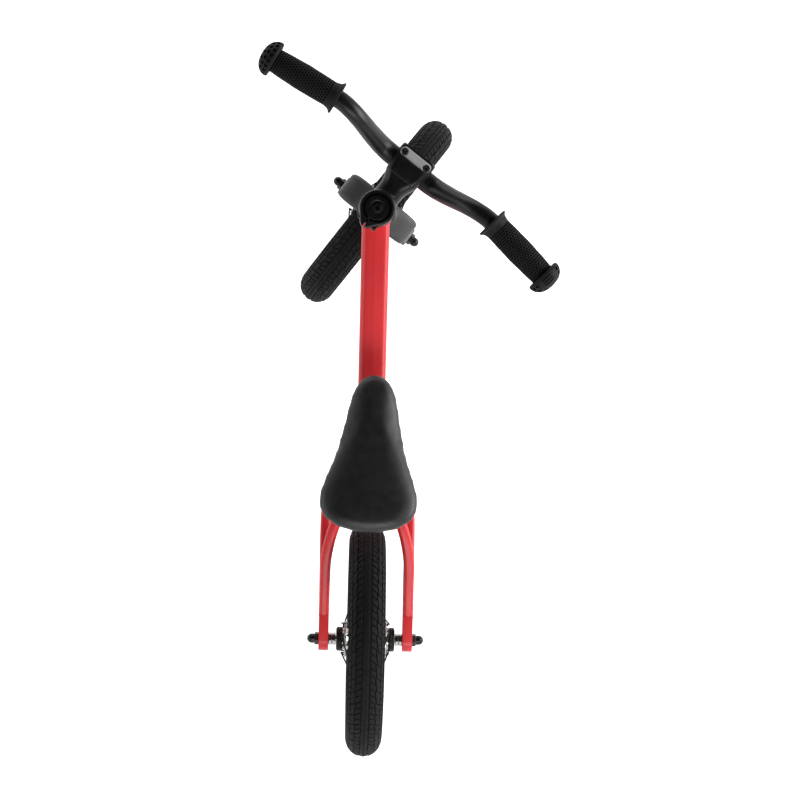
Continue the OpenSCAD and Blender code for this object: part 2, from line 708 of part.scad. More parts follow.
module nipples()
    each_spoke() difference() {
        union() {
            rod($seat - $way * 12, $seat + $way * 1.9, 2);
            rod($seat + $way * 1.7, $seat + $way * 2.8, 2.9);
        }
        rod($seat - $way * 14, $seat + $way * 0.3, spoke_r + assembly_gap);
    }
module hub_shell()
    difference() {
        union() {
            translate([0, 0, -36]) cylinder(h = 72, r = 13);
            both_sides() translate([0, 0, flange_gap / 2 - flange_t / 2])
                cylinder(h = flange_t, r = spoke_circle_r + flange_edge);
        }
        translate([0, 0, -40]) cylinder(h = 80, r = axle_r + 2);
        both_sides() translate([0, 0, 36 - hub_bearing_w - 0.1])
            cylinder(h = 10, r = hub_bearing_r + assembly_gap);
        for (side = [-1, 1], i = [0 : half_spokes - 1])
            translate(polar(spoke_circle_r, hub_angle(i, side), side * flange_gap / 2 - 4))
                cylinder(h = 8, r = 1.2);
    }
module hub_caps()
    both_sides() translate([0, 0, flange_gap / 2 + 3.6]) difference() {
        union() {
            cylinder(h = hub_end - flange_gap / 2 - 3.6, r = 15);
            translate([0, 0, 2.5]) cylinder(h = 1.4, r = 15.5);
            translate([0, 0, 5]) cylinder(h = 1.4, r = 15.5);
        }
        translate([0, 0, -1]) cylinder(h = 36.1 - flange_gap / 2 - 2.6, r = 13 + assembly_gap);
        translate([0, 0, -1]) cylinder(h = 20, r = 8.4);
    }
module hub_bearings()
    both_sides() translate([0, 0, 36 - hub_bearing_w - 0.05])
        tube(hub_bearing_r, axle_r + running_gap, hub_bearing_w);
valve_angle = 9;
module valve_place()
    rotate([0, 0, valve_angle]) translate([rim_inner_r - 22, 0, 0]) rotate([0, 90, 0]) children();
module valve()
    valve_place() {
        cylinder(h = 9, r = 4.9);
        translate([0, 0, 8.9]) cylinder(h = 26.8, r = 4);
        translate([0, 0, 33.6]) cylinder(h = 1.5, r = 6.4);
    }

module rear_tyre() color(rubber_black) rear_wheel_place() tyre();
module rear_inner_tube() color(rubber_black) rear_wheel_place() inner_tube();
module rear_rim() color(satin_black) rear_wheel_place() rim();
module rear_spokes() color(satin_black) rear_wheel_place() spokes();
module rear_nipples() color(satin_black) rear_wheel_place() nipples();
module rear_hub() color(zinc) rear_wheel_place() hub_shell();
module rear_hub_caps() color(satin_black) rear_wheel_place() hub_caps();
module rear_hub_bearings() color(zinc) rear_wheel_place() hub_bearings();
module rear_valve() color(rubber_black) rear_wheel_place() valve();
module front_tyre() color(rubber_black) front_wheel_place() tyre();
module front_inner_tube() color(rubber_black) front_wheel_place() inner_tube();
module front_rim() color(satin_black) front_wheel_place() rim();
module front_spokes() color(satin_black) front_wheel_place() spokes();
module front_nipples() color(satin_black) front_wheel_place() nipples();
module front_hub() color(zinc) front_wheel_place() hub_shell();
module front_hub_caps() color(satin_black) front_wheel_place() hub_caps();
module front_hub_bearings() color(zinc) front_wheel_place() hub_bearings();
module front_valve() color(rubber_black) front_wheel_place() valve();

head_tube();
main_beam();
seat_tube();
chain_stay_left();
chain_stay_right();
seat_stay_left();
seat_stay_right();
seat_collar();
seat_collar_bolt();
lower_cup();
upper_cup();
headset_bearings();
crown_race();
headset_cover();
spacer();
steerer_tube();
fork_crown();
fork_leg_left();
fork_leg_right();
star_nut();
stem_body();
clamp_plate();
clamp_bolts();
pinch_bolts();
top_cap();
top_cap_bolt();
handlebar();
grip_left();
grip_right();
seatpost();
saddle_clamp();
saddle_clamp_bolt();
saddle_rails();
saddle_base();
saddle_cover();
rear_axle();
rear_cone_nuts();
rear_cap_nuts();
front_axle();
front_cone_nuts();
front_cap_nuts();
rear_tyre();
rear_inner_tube();
rear_rim();
rear_spokes();
rear_nipples();
rear_hub();
rear_hub_caps();
rear_hub_bearings();
rear_valve();
front_tyre();
front_inner_tube();
front_rim();
front_spokes();
front_nipples();
front_hub();
front_hub_caps();
front_hub_bearings();
front_valve();
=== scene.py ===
import json
import math

import bmesh
import bpy
from mathutils import Matrix, Vector

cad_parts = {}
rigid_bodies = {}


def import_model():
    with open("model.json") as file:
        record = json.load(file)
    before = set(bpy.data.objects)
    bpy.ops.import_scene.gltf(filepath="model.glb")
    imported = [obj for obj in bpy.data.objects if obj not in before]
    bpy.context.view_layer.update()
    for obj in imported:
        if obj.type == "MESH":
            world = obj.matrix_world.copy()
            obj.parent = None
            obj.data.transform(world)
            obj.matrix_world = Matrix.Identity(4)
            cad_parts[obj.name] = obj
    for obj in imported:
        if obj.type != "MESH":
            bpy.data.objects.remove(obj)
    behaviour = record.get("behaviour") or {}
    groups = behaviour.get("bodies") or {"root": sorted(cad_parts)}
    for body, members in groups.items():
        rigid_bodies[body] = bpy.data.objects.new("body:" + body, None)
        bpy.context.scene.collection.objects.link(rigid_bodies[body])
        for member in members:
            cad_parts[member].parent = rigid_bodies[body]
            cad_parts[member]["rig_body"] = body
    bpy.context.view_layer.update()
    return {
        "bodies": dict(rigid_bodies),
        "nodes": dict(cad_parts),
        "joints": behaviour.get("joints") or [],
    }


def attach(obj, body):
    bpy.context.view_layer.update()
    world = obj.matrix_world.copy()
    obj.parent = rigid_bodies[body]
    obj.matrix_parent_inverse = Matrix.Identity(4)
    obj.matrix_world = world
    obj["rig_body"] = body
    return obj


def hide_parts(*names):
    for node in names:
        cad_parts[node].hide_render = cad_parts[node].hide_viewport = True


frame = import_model()
nodes = frame["nodes"]
scene = bpy.context.scene
MM = 0.001


# ---------------------------------------------------------------- camera, floor and light

def make_camera():
    data = bpy.data.cameras.new("camera")
    data.lens = 121.5
    data.sensor_width = 36
    data.clip_end = 50
    camera = bpy.data.objects.new("camera", data)
    camera.location = (-0.6912, 0.0509, 3.5321)
    camera.rotation_euler = [math.radians(a) for a in (16.594, -1.781, -89.176)]
    scene.collection.objects.link(camera)
    scene.camera = camera


def make_floor():
    mesh = bpy.data.meshes.new("floor")
    half = 6
    mesh.from_pydata([(-half, -half, 0), (half, -half, 0), (half, half, 0), (-half, half, 0)], [],
                     [(0, 1, 2, 3)])
    floor = bpy.data.objects.new("floor", mesh)
    floor.location = (0.3, 0, -0.0005)
    scene.collection.objects.link(floor)
    paint = bpy.data.materials.new("floor_white")
    paint.use_nodes = True
    shader = paint.node_tree.nodes["Principled BSDF"]
    shader.inputs["Base Color"].default_value = (0.93, 0.93, 0.93, 1)
    shader.inputs["Roughness"].default_value = 0.9
    shader.inputs["Specular IOR Level"].default_value = 0.1
    shader.inputs["Emission Color"].default_value = (1, 1, 1, 1)
    tree = paint.node_tree
    seen = tree.nodes.new("ShaderNodeLightPath")
    glow = tree.nodes.new("ShaderNodeMath")
    glow.operation = "MULTIPLY_ADD"
    glow.inputs[1].default_value = 0.6
    glow.inputs[2].default_value = 0.4
    tree.links.new(seen.outputs["Is Camera Ray"], glow.inputs[0])
    tree.links.new(glow.outputs["Value"], shader.inputs["Emission Strength"])
    mesh.materials.append(paint)


def area_light(name, place, target, width, height, power):
    data = bpy.data.lights.new(name, "AREA")
    data.shape = "RECTANGLE"
    data.size = width
    data.size_y = height
    data.energy = power
    lamp = bpy.data.objects.new(name, data)
    lamp.location = place
    aim = Vector(target) - Vector(place)
    lamp.rotation_euler = aim.to_track_quat("-Z", "Y").to_euler()
    scene.collection.objects.link(lamp)


def light_tent():
    """A light tent: bright walls, a darker ceiling where the camera looks in, and four lamps."""
    world = bpy.data.worlds.new("tent")
    scene.world = world
    world.use_nodes = True
    tree = world.node_tree
    background = tree.nodes["Background"]
    coords = tree.nodes.new("ShaderNodeTexCoord")
    split = tree.nodes.new("ShaderNodeSeparateXYZ")
    ramp = tree.nodes.new("ShaderNodeValToRGB")
    tree.links.new(coords.outputs["Generated"], split.inputs[0])
    tree.links.new(split.outputs["Z"], ramp.inputs["Fac"])
    tree.links.new(ramp.outputs["Color"], background.inputs["Color"])
    ramp.color_ramp.elements[0].position = 0.0
    ramp.color_ramp.elements[0].color = (1, 1, 1, 1)
    ramp.color_ramp.elements[1].position = 0.9
    ramp.color_ramp.elements[1].color = (0.012, 0.012, 0.013, 1)
    middle = ramp.color_ramp.elements.new(0.45)
    middle.color = (0.5, 0.5, 0.51, 1)
    upper = ramp.color_ramp.elements.new(0.7)
    upper.color = (0.05, 0.05, 0.052, 1)
    background.inputs["Strength"].default_value = 0.95
    centre = (0.3, 0, 0.25)
    area_light("key", (0.4, -2.7, 1.35), centre, 2.4, 1.5, 82)
    area_light("fill", (0.2, 2.8, 1.3), centre, 2.2, 1.2, 15)
    area_light("front", (3.0, 0.3, 1.2), centre, 2.0, 1.0, 14)
    area_light("rear", (-2.2, -0.3, 1.85), centre, 2.0, 1.2, 34)


make_camera()
make_floor()
light_tent()
scene.view_settings.view_transform = "Standard"


# ---------------------------------------------------------------- finishes

class Finish:
    """A procedural finish: a Principled shader, with patterns on Object coordinates."""

    def __init__(self, name, colour, roughness, metallic=0.0, **constants):
        self.material = bpy.data.materials.new(name)
        self.material.use_nodes = True
        self.tree = self.material.node_tree
        self.shader = self.tree.nodes["Principled BSDF"]
        self.colour = colour
        self.shader.inputs["Base Color"].default_value = (*colour, 1)
        self.shader.inputs["Roughness"].default_value = roughness
        self.shader.inputs["Metallic"].default_value = metallic
        for key, value in constants.items():
            self.shader.inputs[key.replace("_", " ")].default_value = value
        self.coords = self.tree.nodes.new("ShaderNodeTexCoord").outputs["Object"]
        self.bump_end = None
        self.colour_end = None

    def node(self, kind, **settings):
        made = self.tree.nodes.new(kind)
        for key, value in settings.items():
            setattr(made, key, value)
        return made

    def link(self, start, end):
        self.tree.links.new(start, end)

    def noise(self, scale, detail=3.0, stretch=(1, 1, 1)):
        """Noise whose scale is the number of features in a metre."""
        mapping = self.node("ShaderNodeMapping")
        mapping.inputs["Scale"].default_value = stretch
        self.link(self.coords, mapping.inputs["Vector"])
        made = self.node("ShaderNodeTexNoise")
        made.inputs["Scale"].default_value = scale
        made.inputs["Detail"].default_value = detail
        self.link(mapping.outputs["Vector"], made.inputs["Vector"])
        return made.outputs["Fac"]

    def cells(self, scale, feature="F1", output="Distance"):
        made = self.node("ShaderNodeTexVoronoi", feature=feature)
        made.inputs["Scale"].default_value = scale
        self.link(self.coords, made.inputs["Vector"])
        return made.outputs[output]

    def spread(self, value, low, high, start=0.3, end=0.7):
        """Maps a pattern to the range low to high."""
        made = self.node("ShaderNodeMapRange")
        made.inputs["From Min"].default_value = start
        made.inputs["From Max"].default_value = end
        made.inputs["To Min"].default_value = low
        made.inputs["To Max"].default_value = high
        self.link(value, made.inputs["Value"])
        return made.outputs["Result"]

    def vary_roughness(self, pattern, low, high):
        self.link(self.spread(pattern, low, high), self.shader.inputs["Roughness"])
        return self

    def tint(self, pattern, colour, start=0.35, end=0.65, amount=1.0):
        """Mixes another colour in where the pattern is high."""
        mix = self.node("ShaderNodeMix", data_type="RGBA")
        fac = self.spread(pattern, 0.0, amount, start, end)
        self.link(fac, mix.inputs["Factor"])
        if self.colour_end is None:
            mix.inputs["A"].default_value = (*self.colour, 1)
        else:
            self.link(self.colour_end, mix.inputs["A"])
        mix.inputs["B"].default_value = (*colour, 1)
        self.colour_end = mix.outputs["Result"]
        self.link(self.colour_end, self.shader.inputs["Base Color"])
        return self

    def bump(self, pattern, depth, strength=1.0):
        made = self.node("ShaderNodeBump")
        made.inputs["Distance"].default_value = depth
        made.inputs["Strength"].default_value = strength
        self.link(pattern, made.inputs["Height"])
        if self.bump_end is not None:
            self.link(self.bump_end, made.inputs["Normal"])
        self.bump_end = made.outputs["Normal"]
        self.link(self.bump_end, self.shader.inputs["Normal"])
        return self

    def edge_wear(self, colour, amount=0.5):
        """A lighter colour along convex edges."""
        geometry = self.node("ShaderNodeNewGeometry")
        return self.tint(geometry.outputs["Pointiness"], colour, 0.53, 0.62, amount)


def shade(colour, factor):
    return tuple(min(1.0, c * factor) for c in colour)


def red_enamel():
    red = (0.72, 0.034, 0.039)
    made = Finish("red_enamel", red, 0.42, Coat_Weight=0.2, Coat_Roughness=0.22,
                  Specular_IOR_Level=0.28)
    made.tint(made.noise(9), shade(red, 0.88), amount=0.6)
    made.tint(made.noise(2600, 1), shade(red, 1.25), 0.6, 0.75, 0.35)
    made.vary_roughness(made.noise(40), 0.31, 0.42)
    return made.bump(made.noise(420, 2), 0.00006, 0.5)


def powder_grey():
    grey = (0.04, 0.04, 0.0425)
    made = Finish("powder_grey", grey, 0.5, Coat_Weight=0.08, Coat_Roughness=0.4)
    made.tint(made.noise(60), shade(grey, 0.86), amount=0.6)
    made.edge_wear(shade(grey, 1.7), 0.3)
    made.vary_roughness(made.noise(300), 0.44, 0.56)
    return made.bump(made.noise(1700, 2), 0.00012, 0.55)


def black_anodised(name="black_anodised", colour=(0.0045, 0.0045, 0.005), rough=0.33):
    made = Finish(name, colour, rough, Coat_Weight=0.06, Coat_Roughness=0.3,
                  Specular_IOR_Level=0.27)
    made.tint(made.noise(30), shade(colour, 1.5), amount=0.5)
    made.edge_wear(shade(colour, 3), 0.35)
    made.vary_roughness(made.noise(120), rough - 0.05, rough + 0.07)
    return made.bump(made.noise(1400, 2), 0.00005, 0.4)


def satin_grey():
    grey = (0.36, 0.36, 0.365)
    made = Finish("satin_grey", grey, 0.42, 0.15)
    made.tint(made.noise(90), shade(grey, 0.85), amount=0.5)
    made.edge_wear(shade(grey, 1.8), 0.5)
    made.vary_roughness(made.noise(200), 0.33, 0.45)
    return made.bump(made.noise(2200, 1), 0.00004, 0.4)


def zinc_plate():
    zinc = (0.6, 0.6, 0.575)
    made = Finish("zinc_plate", zinc, 0.3, 1.0)
    made.tint(made.noise(160), (0.52, 0.52, 0.47), amount=0.7)
    made.tint(made.cells(500, output="Color"), (0.68, 0.68, 0.68), 0.4, 0.8, 0.25)
    made.vary_roughness(made.noise(400), 0.22, 0.38)
    return made.bump(made.noise(900, 2, (1, 1, 6)), 0.00004, 0.5)


def black_steel():
    black = (0.01, 0.01, 0.0105)
    made = Finish("black_steel", black, 0.3, 0.35)
    made.tint(made.noise(220), (0.02, 0.0195, 0.0185), amount=0.6)
    made.edge_wear((0.1, 0.1, 0.097), 0.4)
    made.vary_roughness(made.noise(500), 0.24, 0.36)
    return made.bump(made.noise(1500), 0.00004, 0.4)


def moulded_black():
    black = (0.009, 0.009, 0.0095)
    made = Finish("moulded_black", black, 0.42)
    made.tint(made.noise(70), shade(black, 1.5), amount=0.5)
    made.vary_roughness(made.noise(250), 0.36, 0.48)
    return made.bump(made.noise(2400, 2), 0.00006, 0.6)


def grip_rubber():
    black = (0.0055, 0.0055, 0.006)
    made = Finish("grip_rubber", black, 0.45, Specular_IOR_Level=0.2)
    made.tint(made.noise(45), shade(black, 1.45), amount=0.6)
    made.edge_wear(shade(black, 2.2), 0.4)
    made.vary_roughness(made.noise(300), 0.55, 0.72)
    return made.bump(made.noise(3000, 3), 0.00008, 0.6)


def tyre_rubber():
    black = (0.006, 0.006, 0.0063)
    made = Finish("tyre_rubber", black, 0.6, Specular_IOR_Level=0.17)
    made.tint(made.noise(25), shade(black, 1.4), amount=0.7)
    made.tint(made.noise(700, 4), (0.014, 0.0137, 0.0133), 0.55, 0.8, 0.4)
    made.edge_wear(shade(black, 2.4), 0.45)
    made.vary_roughness(made.noise(180), 0.62, 0.82)
    return made.bump(made.noise(2600, 3), 0.0001, 0.6)


def saddle_leather():
    """Smooth synthetic leather with a fine pore grain."""
    black = (0.0045, 0.0045, 0.005)
    made = Finish("saddle_leather", black, 0.36, Specular_IOR_Level=0.55,
                  Sheen_Weight=0.06, Sheen_Roughness=0.4)
    made.tint(made.noise(14), shade(black, 1.3), amount=0.6)
    made.vary_roughness(made.noise(90), 0.4, 0.5)
    made.bump(made.cells(1500, "SMOOTH_F1"), 0.00012, 0.45)
    return made.bump(made.noise(3800, 2), 0.00005, 0.4)


RED = red_enamel().material
GREY = powder_grey().material
BLACK = black_anodised().material
RIM_BLACK = black_anodised("rim_black_paint", (0.009, 0.009, 0.0095), 0.3).material
SPOKE_BLACK = black_anodised("spoke_black_paint", (0.01, 0.01, 0.01), 0.36).material
PLATE = satin_grey().material
ZINC = zinc_plate().material
STEEL = black_steel().material
PLASTIC = moulded_black().material
GRIP = grip_rubber().material
# a darker copy of the grip rubber: painted shade for the dimple floors and the dome holes
GRIP_PAINTED_SHADE = Finish("grip_rubber_painted_shade", (0.0015, 0.0015, 0.0016), 0.8, Specular_IOR_Level=0.1).material
TYRE = tyre_rubber().material
LEATHER = saddle_leather().material


# ---------------------------------------------------------------- meshes

def obj_from_bmesh(name, bm, material, smooth_angle=35):
    """Turns a bmesh into a finished object with outward normals and edges sharp by angle."""
    bmesh.ops.recalc_face_normals(bm, faces=bm.faces)
    mesh = bpy.data.meshes.new(name)
    bm.to_mesh(mesh)
    bm.free()
    mesh.materials.append(material)
    made = bpy.data.objects.new(name, mesh)
    scene.collection.objects.link(made)
    shade_by_angle(made, smooth_angle)
    return made


def shade_by_angle(made, angle=35):
    made.data.shade_smooth()
    made.data.set_sharp_from_angle(angle=math.radians(angle))


def bake(made):
    """Applies every modifier and leaves a plain mesh."""
    depsgraph = bpy.context.evaluated_depsgraph_get()
    depsgraph.update()
    evaluated = made.evaluated_get(depsgraph)
    mesh = bpy.data.meshes.new_from_object(evaluated)
    mesh.name = made.name
    made.modifiers.clear()
    made.data = mesh
    return made


def modifier(made, kind, **settings):
    added = made.modifiers.new(kind.lower(), kind)
    for key, value in settings.items():
        setattr(added, key, value)
    return added


def place(made, matrix):
    made.data.transform(matrix)
    made.data.update()
    return made


def copy_of(made, name, matrix):
    mesh = made.data.copy()
    mesh.name = name
    mesh.transform(matrix)
    if matrix.determinant() < 0:
        mesh.flip_normals()
    made_copy = bpy.data.objects.new(name, mesh)
    scene.collection.objects.link(made_copy)
    return made_copy


def joined(name, *parts):
    """One object holding the meshes of several."""
    bm = bmesh.new()
    materials = []
    for part in parts:
        start = len(bm.faces)
        bm.from_mesh(part.data)
        bm.faces.ensure_lookup_table()
        for face in bm.faces[start:]:
            used = part.data.materials[min(face.material_index, len(part.data.materials) - 1)]
            if used not in materials:
                materials.append(used)
            face.material_index = materials.index(used)
    mesh = bpy.data.meshes.new(name)
    bm.to_mesh(mesh)
    bm.free()
    for used in materials:
        mesh.materials.append(used)
    made = bpy.data.objects.new(name, mesh)
    scene.collection.objects.link(made)
    for part in parts:
        bpy.data.objects.remove(part)
    return made


def basis(origin, x_axis, y_axis, z_axis):
    return Matrix.Translation(origin) @ Matrix((x_axis, y_axis, z_axis)).transposed().to_4x4()


def rounded_profile(points, radii, steps=4):
    """An open outline with its corners rounded; radii gives one radius for each point."""
    result = []
    for i, (point, radius) in enumerate(zip(points, radii)):
        here = Vector(point)
        if radius <= 0 or i in (0, len(points) - 1):
            result.append(here)
            continue
        before = (Vector(points[i - 1]) - here)
        after = (Vector(points[i + 1]) - here)
        reach = min(radius, before.length * 0.49, after.length * 0.49)
        start = here + before.normalized() * reach
        end = here + after.normalized() * reach
        for step in range(steps + 1):
            u = step / steps
            result.append((1 - u) ** 2 * start + 2 * u * (1 - u) * here + u * u * end)
    return result


def lathe(name, outline, material, matrix=None, segments=96, radius=0.6, closed=False, angle=35):
    """Turns an outline of (radius, height) in mm about Z; corners take the given radius."""
    radii = [radius] * len(outline)
    points = rounded_profile(outline, radii)
    bm = bmesh.new()
    rings = []
    for point in points:
        r, z = point[0] * MM, point[1] * MM
        if r < 1e-7:
            rings.append([bm.verts.new((0, 0, z))])
            continue
        rings.append([bm.verts.new((r * math.cos(a), r * math.sin(a), z))
                      for a in (i * math.tau / segments for i in range(segments))])
    pairs = list(zip(rings, rings[1:]))
    if closed:
        pairs.append((rings[-1], rings[0]))
    for lower, upper in pairs:
        for i in range(segments):
            k = (i + 1) % segments
            if len(lower) == 1 and len(upper) == 1:
                break
            if len(lower) == 1:
                bm.faces.new((lower[0], upper[k], upper[i]))
            elif len(upper) == 1:
                bm.faces.new((lower[i], lower[k], upper[0]))
            else:
                bm.faces.new((lower[i], lower[k], upper[k], upper[i]))
    made = obj_from_bmesh(name, bm, material, angle)
    if matrix is not None:
        place(made, matrix)
    return made


def smooth_at(p, i, u):
    a, b = p[max(i - 1, 0)], p[i]
    c, d = p[i + 1], p[min(i + 2, len(p) - 1)]
    return [0.5 * (2 * q + (r - o) * u + (2 * o - 5 * q + 4 * r - s) * u * u
                   + (3 * q - o - 3 * r + s) * u ** 3) for o, q, r, s in zip(a, b, c, d)]


def smooth_stations(stations, steps):
    dense = [smooth_at(stations, i, s / steps)
             for i in range(len(stations) - 1) for s in range(steps)]
    return dense + [list(stations[-1])]


def evened(path, step, rounds=3):
    """The same path with points an even step apart, eased a little; its two ends stay put."""
    points = [Vector(p) for p in path]
    lengths = [0.0]
    for a, b in zip(points, points[1:]):
        lengths.append(lengths[-1] + (b - a).length)
    count = round(lengths[-1] / step)
    result = []
    j = 0
    for i in range(count + 1):
        want = lengths[-1] * i / count
        while j < len(points) - 2 and lengths[j + 1] < want:
            j += 1
        u = (want - lengths[j]) / max(1e-9, lengths[j + 1] - lengths[j])
        result.append(points[j].lerp(points[j + 1], u))
    for _ in range(rounds):
        inner = [(a + b * 2 + c) / 4 for a, b, c in zip(result, result[1:], result[2:])]
        result = [result[0]] + inner + [result[-1]]
    return result


def hull_outline(circles, steps=40):
    """Convex outline round several circles given as (x, y, radius)."""
    points = sorted((x + r * math.cos(a), y + r * math.sin(a))
                    for x, y, r in circles for a in (i * math.tau / steps for i in range(steps)))
    halves = []
    for run in (points, points[::-1]):
        chain = []
        for p in run:
            while len(chain) > 1:
                a, b = chain[-2], chain[-1]
                if (b[0] - a[0]) * (p[1] - a[1]) - (b[1] - a[1]) * (p[0] - a[0]) > 1e-9:
                    break
                chain.pop()
            chain.append(p)
        halves.append(chain[:-1])
    return halves[0] + halves[1]


def fit_to(made, low, high):
    """Scales a mesh so that its box is the given one, in mm."""
    verts = made.data.vertices
    for axis in range(3):
        values = [v.co[axis] for v in verts]
        least, most = min(values), max(values)
        for v in verts:
            u = (v.co[axis] - least) / (most - least)
            v.co[axis] = (low[axis] + (high[axis] - low[axis]) * u) * MM


def rounded_section(w, h, r, steps=6):
    points = []
    for corner in range(4):
        sx = 1 if corner in (0, 3) else -1
        sy = 1 if corner < 2 else -1
        for step in range(steps + 1):
            a = math.radians(corner * 90 + step * 90 / steps)
            points.append((sx * (w / 2 - r) + r * math.cos(a), sy * (h / 2 - r) + r * math.sin(a)))
    return points


def round_section(r, sides=32):
    return [(r * math.cos(i * math.tau / sides), r * math.sin(i * math.tau / sides))
            for i in range(sides)]


def sweep(name, path, sections, up, material, capped=True, angle=40):
    """A skin along a path in mm, with one section at each point of the path."""
    bm = bmesh.new()
    path = [Vector(p) for p in path]
    rings = []
    for i, point in enumerate(path):
        along = (path[min(i + 1, len(path) - 1)] - path[max(i - 1, 0)]).normalized()
        side = Vector(up).cross(along).normalized()
        rise = along.cross(side)
        rings.append([bm.verts.new((point + side * q[0] + rise * q[1]) * MM)
                      for q in sections[i]])
    count = len(rings[0])
    for lower, upper in zip(rings, rings[1:]):
        for j in range(count):
            k = (j + 1) % count
            bm.faces.new((lower[j], lower[k], upper[k], upper[j]))
    if capped:
        bm.faces.new(rings[0])
        bm.faces.new(reversed(rings[-1]))
    return obj_from_bmesh(name, bm, material, angle)


def block(name, low, high, material, radius=0.0, segments=3):
    """A box with rounded edges, in mm."""
    bm = bmesh.new()
    bmesh.ops.create_cube(bm, size=1)
    for vert in bm.verts:
        vert.co = Vector([(lo + hi) / 2 + v * (hi - lo) for lo, hi, v in zip(low, high, vert.co)]) * MM
    if radius > 0:
        bmesh.ops.bevel(bm, geom=list(bm.edges), offset=radius * MM, segments=segments,
                        profile=0.5, affect="EDGES")
    return obj_from_bmesh(name, bm, material)


# ---------------------------------------------------------------- repeated copies round an axle

class Tree:
    """Builds a Geometry Nodes tree with named inputs."""

    def __init__(self, name):
        self.group = bpy.data.node_groups.new(name, "GeometryNodeTree")
        self.group.interface.new_socket("Geometry", in_out="INPUT", socket_type="NodeSocketGeometry")
        self.group.interface.new_socket("Geometry", in_out="OUTPUT", socket_type="NodeSocketGeometry")
        self.start = self.group.nodes.new("NodeGroupInput")
        self.end = self.group.nodes.new("NodeGroupOutput")

    def input(self, name, kind, default=None):
        socket = self.group.interface.new_socket(name, in_out="INPUT", socket_type=kind)
        if default is not None:
            socket.default_value = default
        return self.start.outputs[name]

    def node(self, kind, **settings):
        made = self.group.nodes.new(kind)
        for key, value in settings.items():
            setattr(made, key, value)
        return made

    def link(self, start, end):
        self.group.links.new(start, end)

    def maths(self, operation, a, b):
        made = self.node("ShaderNodeMath", operation=operation)
        for socket, value in zip(made.inputs, (a, b)):
            if isinstance(value, (int, float)):
                socket.default_value = value
            else:
                self.link(value, socket)
        return made.outputs[0]


def round_copies_tree():
    """Copies the incoming mesh a number of times round the Z axis."""
    tree = Tree("copies_round_axle")
    count = tree.input("Count", "NodeSocketInt", 10)
    start = tree.input("Start Angle", "NodeSocketFloat", 0.0)
    material = tree.input("Material", "NodeSocketMaterial")
    points = tree.node("GeometryNodePoints")
    tree.link(count, points.inputs["Count"])
    index = tree.node("GeometryNodeInputIndex").outputs[0]
    turn = tree.maths("DIVIDE", math.tau, count)
    angle = tree.maths("ADD", tree.maths("MULTIPLY", index, turn), start)
    euler = tree.node("ShaderNodeCombineXYZ")
    tree.link(angle, euler.inputs["Z"])
    place_copies = tree.node("GeometryNodeInstanceOnPoints")
    tree.link(points.outputs[0], place_copies.inputs["Points"])
    tree.link(tree.start.outputs["Geometry"], place_copies.inputs["Instance"])
    rotation = tree.node("FunctionNodeEulerToRotation")
    tree.link(euler.outputs[0], rotation.inputs[0])
    tree.link(rotation.outputs[0], place_copies.inputs["Rotation"])
    realize = tree.node("GeometryNodeRealizeInstances")
    tree.link(place_copies.outputs[0], realize.inputs[0])
    paint = tree.node("GeometryNodeSetMaterial")
    tree.link(realize.outputs[0], paint.inputs["Geometry"])
    tree.link(material, paint.inputs["Material"])
    tree.link(paint.outputs[0], tree.end.inputs["Geometry"])
    return tree.group


ROUND_COPIES = round_copies_tree()


def round_axle(made, count, start, material):
    """Replaces an object by count copies of it turned round Z."""
    added = made.modifiers.new("copies", "NODES")
    added.node_group = ROUND_COPIES
    for item in ROUND_COPIES.interface.items_tree:
        if item.item_type == "SOCKET" and item.in_out == "INPUT" and item.name != "Geometry":
            added[item.identifier] = {"Count": count, "Start Angle": start,
                                      "Material": material}[item.name]
    return bake(made)


# ---------------------------------------------------------------- places

joints = {joint["name"]: joint for joint in frame["joints"]}
REAR_CENTRE = Vector(joints["rear_wheel_spin"]["pos_m"])
FRONT_CENTRE = Vector(joints["front_wheel_spin"]["pos_m"])
STEER_UP = Vector(joints["steering_turn"]["axis"]).normalized()
if STEER_UP.z < 0:
    STEER_UP = -STEER_UP
STEER_LEFT = Vector(joints["front_wheel_spin"]["axis"]).normalized()
if STEER_LEFT.y < 0:
    STEER_LEFT = -STEER_LEFT
STEER_FORWARD = STEER_LEFT.cross(STEER_UP)
RAKE = 7
FOOT = FRONT_CENTRE - STEER_FORWARD * RAKE * MM
HEAD_TILT = math.radians(19)
LEAN_UP = Vector((-math.sin(HEAD_TILT), 0, math.cos(HEAD_TILT)))
LEAN_FORWARD = Vector((math.cos(HEAD_TILT), 0, math.sin(HEAD_TILT)))
STEERED = basis(FOOT, STEER_FORWARD, STEER_LEFT, STEER_UP)
HEADED = basis(FOOT, LEAN_FORWARD, Vector((0, 1, 0)), LEAN_UP)
SEATED = basis(Vector((0.210, 0, 0.306)), LEAN_FORWARD, Vector((0, 1, 0)), LEAN_UP)
REAR_WHEEL = basis(REAR_CENTRE, (1, 0, 0), (0, 0, 1), (0, -1, 0))
FRONT_WHEEL = basis(FRONT_CENTRE, STEER_FORWARD, STEER_UP, -STEER_LEFT)
ON_SADDLE = Matrix.Translation((0.196, 0, 0.388)) @ Matrix.Rotation(math.radians(-2), 4, "Z")
BAR_HEIGHT = 346
STEM_REACH = 62
STEERED_BAR = STEERED @ Matrix.Translation((STEM_REACH * MM, 0, BAR_HEIGHT * MM))
MIRROR_Y = Matrix.Scale(-1, 4, (0, 1, 0))
MIRROR_Z = Matrix.Scale(-1, 4, (0, 0, 1))


def finish_piece(made, body, *replaced):
    """Hands a finished object to its body, in place of the named nodes."""
    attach(made, body)
    if replaced:
        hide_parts(*replaced)
    return made


# ---------------------------------------------------------------- tyres

TYRE_MID_R = 125.5
TREAD_R = 23
CARCASS_R = 21.4
OUTER_R = TYRE_MID_R + TREAD_R
BEAD_R = 101.5
DOUBLE_PITCHES = 52
PITCH = math.tau * OUTER_R / DOUBLE_PITCHES / 2
GROOVE = 1.35
CHEVRON = 0.62


